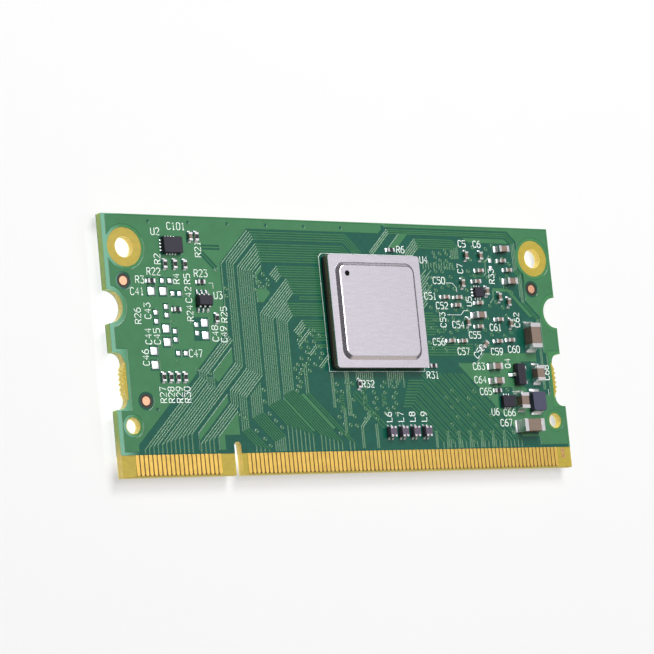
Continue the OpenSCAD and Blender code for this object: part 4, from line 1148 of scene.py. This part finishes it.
# Height up to which the edges of the cover stay sharp, width of the band round its raised top, steps and angle of
# its rounded bends, and reach of the dimple whose edges stay as they are
COVER_SHARP = 0.35
COVER_RIM = 0.3
BEND_STEPS = 5
BEND_ANGLE = 20
DIMPLE_REACH = 2 * DOT_RADIUS


class MODULE_OT_form_cover(bpy.types.Operator):
    """Rounds the bends of the stamped cover and prints its corner dot"""

    bl_idname = "module.form_cover"
    bl_label = "Form the stamped cover"

    def execute(self, context):
        # Nickel on copper, satin from the plating bath: pale violet-grey with faint streaks across
        nickel = surface("satin_nickel", colours().nickel, 0.27, 0.3, 0.04, streak=(0.2, 1, 1), Metallic=1.0)
        low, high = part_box("heat_spreader")
        dot = (low.x + DOT_INSET * MM, high.y - DOT_INSET * MM)
        soften(
            "heat_spreader", sizes().cover_edge, nickel,
            segments=BEND_STEPS, sharp=BEND_ANGLE, rim=COVER_RIM * MM,
            unwanted=lambda p: p.z < low.z + COVER_SHARP * MM or (p.xy - Vector(dot)).length < DIMPLE_REACH * MM,
        )
        # Black paint in the shallow dimple, matt and a little uneven
        paint = surface("black_marking_paint", colours().dot, 0.7, 0.1, 0.3, 0.002, Specular_IOR_Level=0.1)
        bpy.ops.object.select_all(action="DESELECT")
        bpy.ops.mesh.primitive_cylinder_add(
            vertices=DOT_SIDES, radius=DOT_RADIUS * MM, depth=DOT_DEPTH * MM,
            location=(*dot, high.z - DOT_DEPTH * MM / 2),
        )
        piece = context.object
        piece.name = "cover_corner_dot"
        bpy.ops.object.transform_apply(location=True, rotation=False, scale=False)
        select_faces(piece, lambda face: face.normal.z > UPRIGHT)
        bpy.ops.mesh.inset(thickness=DOT_RIM * MM, depth=-DOT_SINK * MM)
        bpy.ops.object.mode_set(mode="OBJECT")
        even_normals(piece, DOT_SHARP)
        settle(piece, paint)
        return {"FINISHED"}


class MODULE_OT_finish_packages(bpy.types.Operator):
    """Rounds the moulds of the large packages and gives their substrates, balls and die their materials"""

    bl_idname = "module.finish_packages"
    bl_label = "Finish the large packages"

    def execute(self, context):
        # Filled epoxy: dull brown-black with the speckle of its filler
        mould = surface("package_moulding_compound", colours().package, 0.6, 0.15, 0.25, 0.002)
        # Dark core laminate: a lighter satin line below each mould
        board = surface("package_substrate", shaded(colours().package, 1.4), 0.5, 0.3, 0.2, 0.001)
        # Pressed glass layers seen on edge: brown, with fine streaks along them
        layers = surface("organic_package_laminate", colours().organic, 0.6, 0.2, 0.25, 0.001, streak=(1, 1, 3))
        # Solder balls: bright dots in the dark gap below a package
        solder = surface("ball_solder", colours().solder, 0.35, 0.2, 0.05, Metallic=1.0)
        # Polished silicon: grey and smooth, hidden below the cover
        silicon = surface("polished_silicon", shaded(colours().mould, 2), 0.15, 1.0, 0.05)
        for node, finish in (("processor_mould", layers), ("memory_mould", mould), ("flash_mould", mould)):
            soften(node, sizes().package_edge, finish)
        dress(board, "processor_substrate", "memory_substrate", "flash_substrate")
        dress(solder, "processor_balls", "memory_balls", "flash_balls")
        dress(silicon, "processor_die")
        return {"FINISHED"}


class MODULE_OT_finish_chips(bpy.types.Operator):
    """Rounds the moulded chips, their leads, the inductor and the chokes"""

    bl_idname = "module.finish_chips"
    bl_label = "Finish the chips"

    def execute(self, context):
        # Filled epoxy of the small chips: dull violet-black, finely speckled
        mould = surface("chip_moulding_compound", colours().mould, 0.5, 0.1, 0.2, 0.002, Specular_IOR_Level=0.3)
        # Tin on leads and plates: bright grey with a soft sheen
        tin = surface("tin_plating", colours().tin, 0.3, 0.3, 0.06, 0.001, Metallic=1.0)
        # Pressed ferrite: dull blue-grey with a visible grain
        ferrite = surface("pressed_ferrite", colours().ferrite, 0.6, 0.12, 0.18, 0.003)
        # Fired ferrite: dark violet-grey with a slight gloss
        choke = surface("fired_ferrite", colours().choke, 0.45, 0.12, 0.18, 0.002)
        edge, lead = sizes().chip_edge, sizes().lead_edge
        for chip in ("interface", "converter", "regulator", "switch"):
            soften(f"{chip}_chip_body", edge, mould)
        soften("transistor_body", edge, mould)
        for node in (
            "interface_chip_pads", "converter_chip_pads", "regulator_chip_pads", "switch_chip_leads",
            "transistor_leads", "inductor_plates", "choke_terminals",
        ):
            soften(node, lead, tin)
        soften("inductor_core", edge, ferrite)
        soften("choke_bodies", edge, choke)
        return {"FINISHED"}


class MODULE_OT_finish_passives(bpy.types.Operator):
    """Rounds the capacitors and resistors and their plated ends"""

    bl_idname = "module.finish_passives"
    bl_label = "Finish the capacitors and resistors"

    def execute(self, context):
        # Fired ceramic: plain brown with a fine dull grain
        ceramic = surface("fired_brown_ceramic", colours().ceramic, 0.5, 0.15, 0.15, 0.002)
        # Fired alumina: chalky white edges under the black film
        alumina = surface("fired_alumina", colours().alumina, 0.6, 0.15, 0.05, 0.002)
        # Glass overcoat: glossy black, a little cloudy
        glass = surface("black_glass_overcoat", colours().glass, 0.3, 0.2, 0.2, 0.001)
        # Tin on the end caps: frosted silver, uneven from dipping
        tin = surface("tinned_ends", colours().tin, 0.32, 0.15, 0.06, 0.002, Metallic=1.0)
        for kind in ("bulk", "large", "medium", "small", "back"):
            soften(f"{kind}_capacitor_bodies", sizes().ceramic_edge, ceramic)
            soften(f"{kind}_capacitor_ends", sizes().plating_edge, tin, clamped=True)
        soften("resistor_bodies", sizes().lead_edge, alumina)
        soften("resistor_films", sizes().lead_edge, glass)
        soften("resistor_ends", sizes().lead_edge, tin, clamped=True)
        return {"FINISHED"}


# Insets that dome the solder on an empty pad: thickness and rise of each, in millimetres
DOME_STEPS = ((0.06, 0.03), (0.09, 0.022), (0.06, 0.006))


def raise_tops(piece, steps):
    """Domes each flat top by insets that climb, given as thickness and rise in millimetres."""
    select_top(piece)
    for thickness, rise in steps:
        bpy.ops.mesh.inset(thickness=thickness * MM, depth=rise * MM, use_individual=True)
    bpy.ops.object.mode_set(mode="OBJECT")
    bpy.ops.object.shade_smooth()


class MODULE_OT_flow_solder(bpy.types.Operator):
    """Rounds the solder at the parts and on the empty pads"""

    bl_idname = "module.flow_solder"
    bl_label = "Flow the solder"

    def execute(self, context):
        # Tin alloy frozen from the melt: bright, with a soft frosting
        solder = surface("reflowed_solder", colours().solder, 0.45, 0.2, 0.05, 0.003, Metallic=1.0)
        soften("front_solder_fillets", sizes().solder_edge, solder)
        soften("back_solder_fillets", sizes().solder_edge, solder)
        pads = soften("bare_solder_pads", sizes().lead_edge, solder)
        raise_tops(pads, DOME_STEPS)
        return {"FINISHED"}


# Studio: camera fitted to the photograph, in metres

CAMERA_PLACE = (-0.2135, -0.0507, 0.28605)
CAMERA_VIEW = (0.5892, 0.1483, -0.7943)
CAMERA_UP = (-0.0089, 0.9841, 0.1772)
SENSOR = 36
LENS = 162.2
CLIP_START = 0.01
# Floor in metres: its size, its glow near the board and far from it, and where the one turns into the other
FLOOR_SIZE = 6
FLOOR_GLOW = 0.5
FAR_GLOW = 0.15
GLOW_NEAR = 0.09
GLOW_FAR = 0.22
WORLD_COLOUR = (0.12, 0.12, 0.125, 1)
# Painted light under the board: more glow in the floor there, which shows through its holes and takes out the board's
# shadow, and its fade inside the outline in millimetres.
# At the left end it reaches past the outline, because the photograph has no shadow there.
PAINTED_UNDER_GLOW = 0.5
UNDER_FADE = (0.3, 2.3)
LEFT_FADE = (-1.2, 1.3)
# Lights: name, place and width in metres, radiance and tint
LIGHTS = (
    # Small bright key that the upper left slopes of the tracks throw at the camera
    ("key_light", (0.0685, 0.3, 0.394), 0.2, 15.0, "#FFFFFF"),
    # Soft top light for the left slopes
    ("top_light", (-0.065, 0.075, 0.49), 0.22, 8.0, "#FFFFFF"),
    # Wide dim panel that the flat faces mirror, brighter towards the left end
    ("panel_light", (0.273, 0.07, 0.53), 0.4, 0.85, "#FFFFFF"),
    # Low front panel for the lower slopes
    ("front_light", (0.3, -0.45, 0.14), 0.3, 0.6, "#FFF2E0"),
    # Dim panel between the two, for the lower rim of the cover
    ("rim_light", (0.354, -0.228, 0.42), 0.36, 0.55, "#FFFFFF"),
)


def add_light(name, place, width, radiance, tint):
    """A square soft light that faces the board, with its brightness given as radiance."""
    turn = (-Vector(place)).to_track_quat("-Z", "Y").to_euler()
    bpy.ops.object.light_add(type="AREA", location=place, rotation=turn)
    light = bpy.context.object
    light.name = name
    light.data.shape = "SQUARE"
    light.data.size = width
    light.data.color = linear(tint)[:3]
    light.data.energy = radiance * math.pi * width * width


def light_table():
    """Opal sheet lit from below, dimmer far off, with painted light under the board: no shadow, white through the
    holes.
    """
    material = surface("opal_acrylic", colours().floor, 0.9, 8.0, 0.01)
    shader = material.node_tree.nodes["Principled BSDF"]
    shader.inputs["Emission Color"].default_value = linear("#FFFFFF")
    place = add_node(material, "ShaderNodeTexCoord").outputs["Object"]
    away = add_node(material, "ShaderNodeVectorMath", {0: place}, operation="LENGTH").outputs["Value"]
    glow = add_node(
        material, "ShaderNodeMapRange",
        {"Value": away, "From Min": GLOW_NEAR, "From Max": GLOW_FAR, "To Min": FLOOR_GLOW, "To Max": FAR_GLOW},
    )
    axes = add_node(material, "ShaderNodeSeparateXYZ", {"Vector": place}).outputs
    # Painted light: the glow rises inside the board's outline
    below = PAINTED_UNDER_GLOW
    for axis, edge, inward, fade in (
        ("X", BOARD_LOW.x, MM, LEFT_FADE), ("X", BOARD_HIGH.x, -MM, UNDER_FADE),
        ("Y", BOARD_LOW.y, MM, UNDER_FADE), ("Y", BOARD_HIGH.y, -MM, UNDER_FADE),
    ):
        reached = add_node(material, "ShaderNodeMapRange", {
            "Value": axes[axis], "From Min": edge + fade[0] * inward, "From Max": edge + fade[1] * inward,
        }).outputs["Result"]
        below = add_node(material, "ShaderNodeMath", {0: below, 1: reached}, operation="MULTIPLY").outputs["Value"]
    total = add_node(material, "ShaderNodeMath", {0: glow.outputs["Result"], 1: below}, operation="ADD")
    material.node_tree.links.new(total.outputs["Value"], shader.inputs["Emission Strength"])
    return material


class MODULE_OT_set_stage(bpy.types.Operator):
    """Lays the pale floor, hangs the soft lights and sets the camera"""

    bl_idname = "module.set_stage"
    bl_label = "Set the studio"

    def execute(self, context):
        scene = context.scene
        bpy.ops.object.select_all(action="DESELECT")
        bpy.ops.mesh.primitive_plane_add(size=FLOOR_SIZE)
        floor = context.object
        floor.name = "studio_floor"
        floor.data.materials.append(light_table())
        for light in LIGHTS:
            add_light(*light)
        world = bpy.data.worlds.new("studio_world")
        world.use_nodes = True
        world.node_tree.nodes["Background"].inputs["Color"].default_value = WORLD_COLOUR
        world.node_tree.nodes["Background"].inputs["Strength"].default_value = 1.0
        scene.world = world
        scene.view_settings.view_transform = "Standard"
        bpy.ops.object.camera_add()
        camera = context.object
        camera.name = "photo_camera"
        camera.data.sensor_width = SENSOR
        camera.data.lens = LENS
        camera.data.clip_start = CLIP_START
        view, up = Vector(CAMERA_VIEW).normalized(), Vector(CAMERA_UP).normalized()
        side = view.cross(up)
        turn = Matrix((side, side.cross(view), -view)).transposed().to_4x4()
        camera.matrix_world = Matrix.Translation(CAMERA_PLACE) @ turn
        scene.camera = camera
        return {"FINISHED"}


OPERATORS = (
    MODULE_OT_finish_board,
    MODULE_OT_lay_copper,
    MODULE_OT_print_legend,
    MODULE_OT_plate_contacts,
    MODULE_OT_form_cover,
    MODULE_OT_finish_packages,
    MODULE_OT_finish_chips,
    MODULE_OT_finish_passives,
    MODULE_OT_flow_solder,
    MODULE_OT_set_stage,
)


class MODULE_PT_finisher(bpy.types.Panel):
    """Lists the steps that finish the module"""

    bl_idname = "MODULE_PT_finisher"
    bl_label = "Circuit module"
    bl_space_type = "VIEW_3D"
    bl_region_type = "UI"
    bl_category = "Module"

    def draw(self, context):
        for operator in OPERATORS:
            self.layout.operator(operator.bl_idname)


CLASSES = (ModuleSizes, ModuleColours, *OPERATORS, MODULE_PT_finisher)


def register():
    for item in CLASSES:
        bpy.utils.register_class(item)
    bpy.types.Scene.module_sizes = PointerProperty(type=ModuleSizes)
    bpy.types.Scene.module_colours = PointerProperty(type=ModuleColours)


def unregister():
    del bpy.types.Scene.module_colours
    del bpy.types.Scene.module_sizes
    for item in reversed(CLASSES):
        bpy.utils.unregister_class(item)


def main():
    register()
    for operator in OPERATORS:
        getattr(bpy.ops.module, operator.bl_idname.split(".")[1])()


if __name__ == "__main__":
    main()
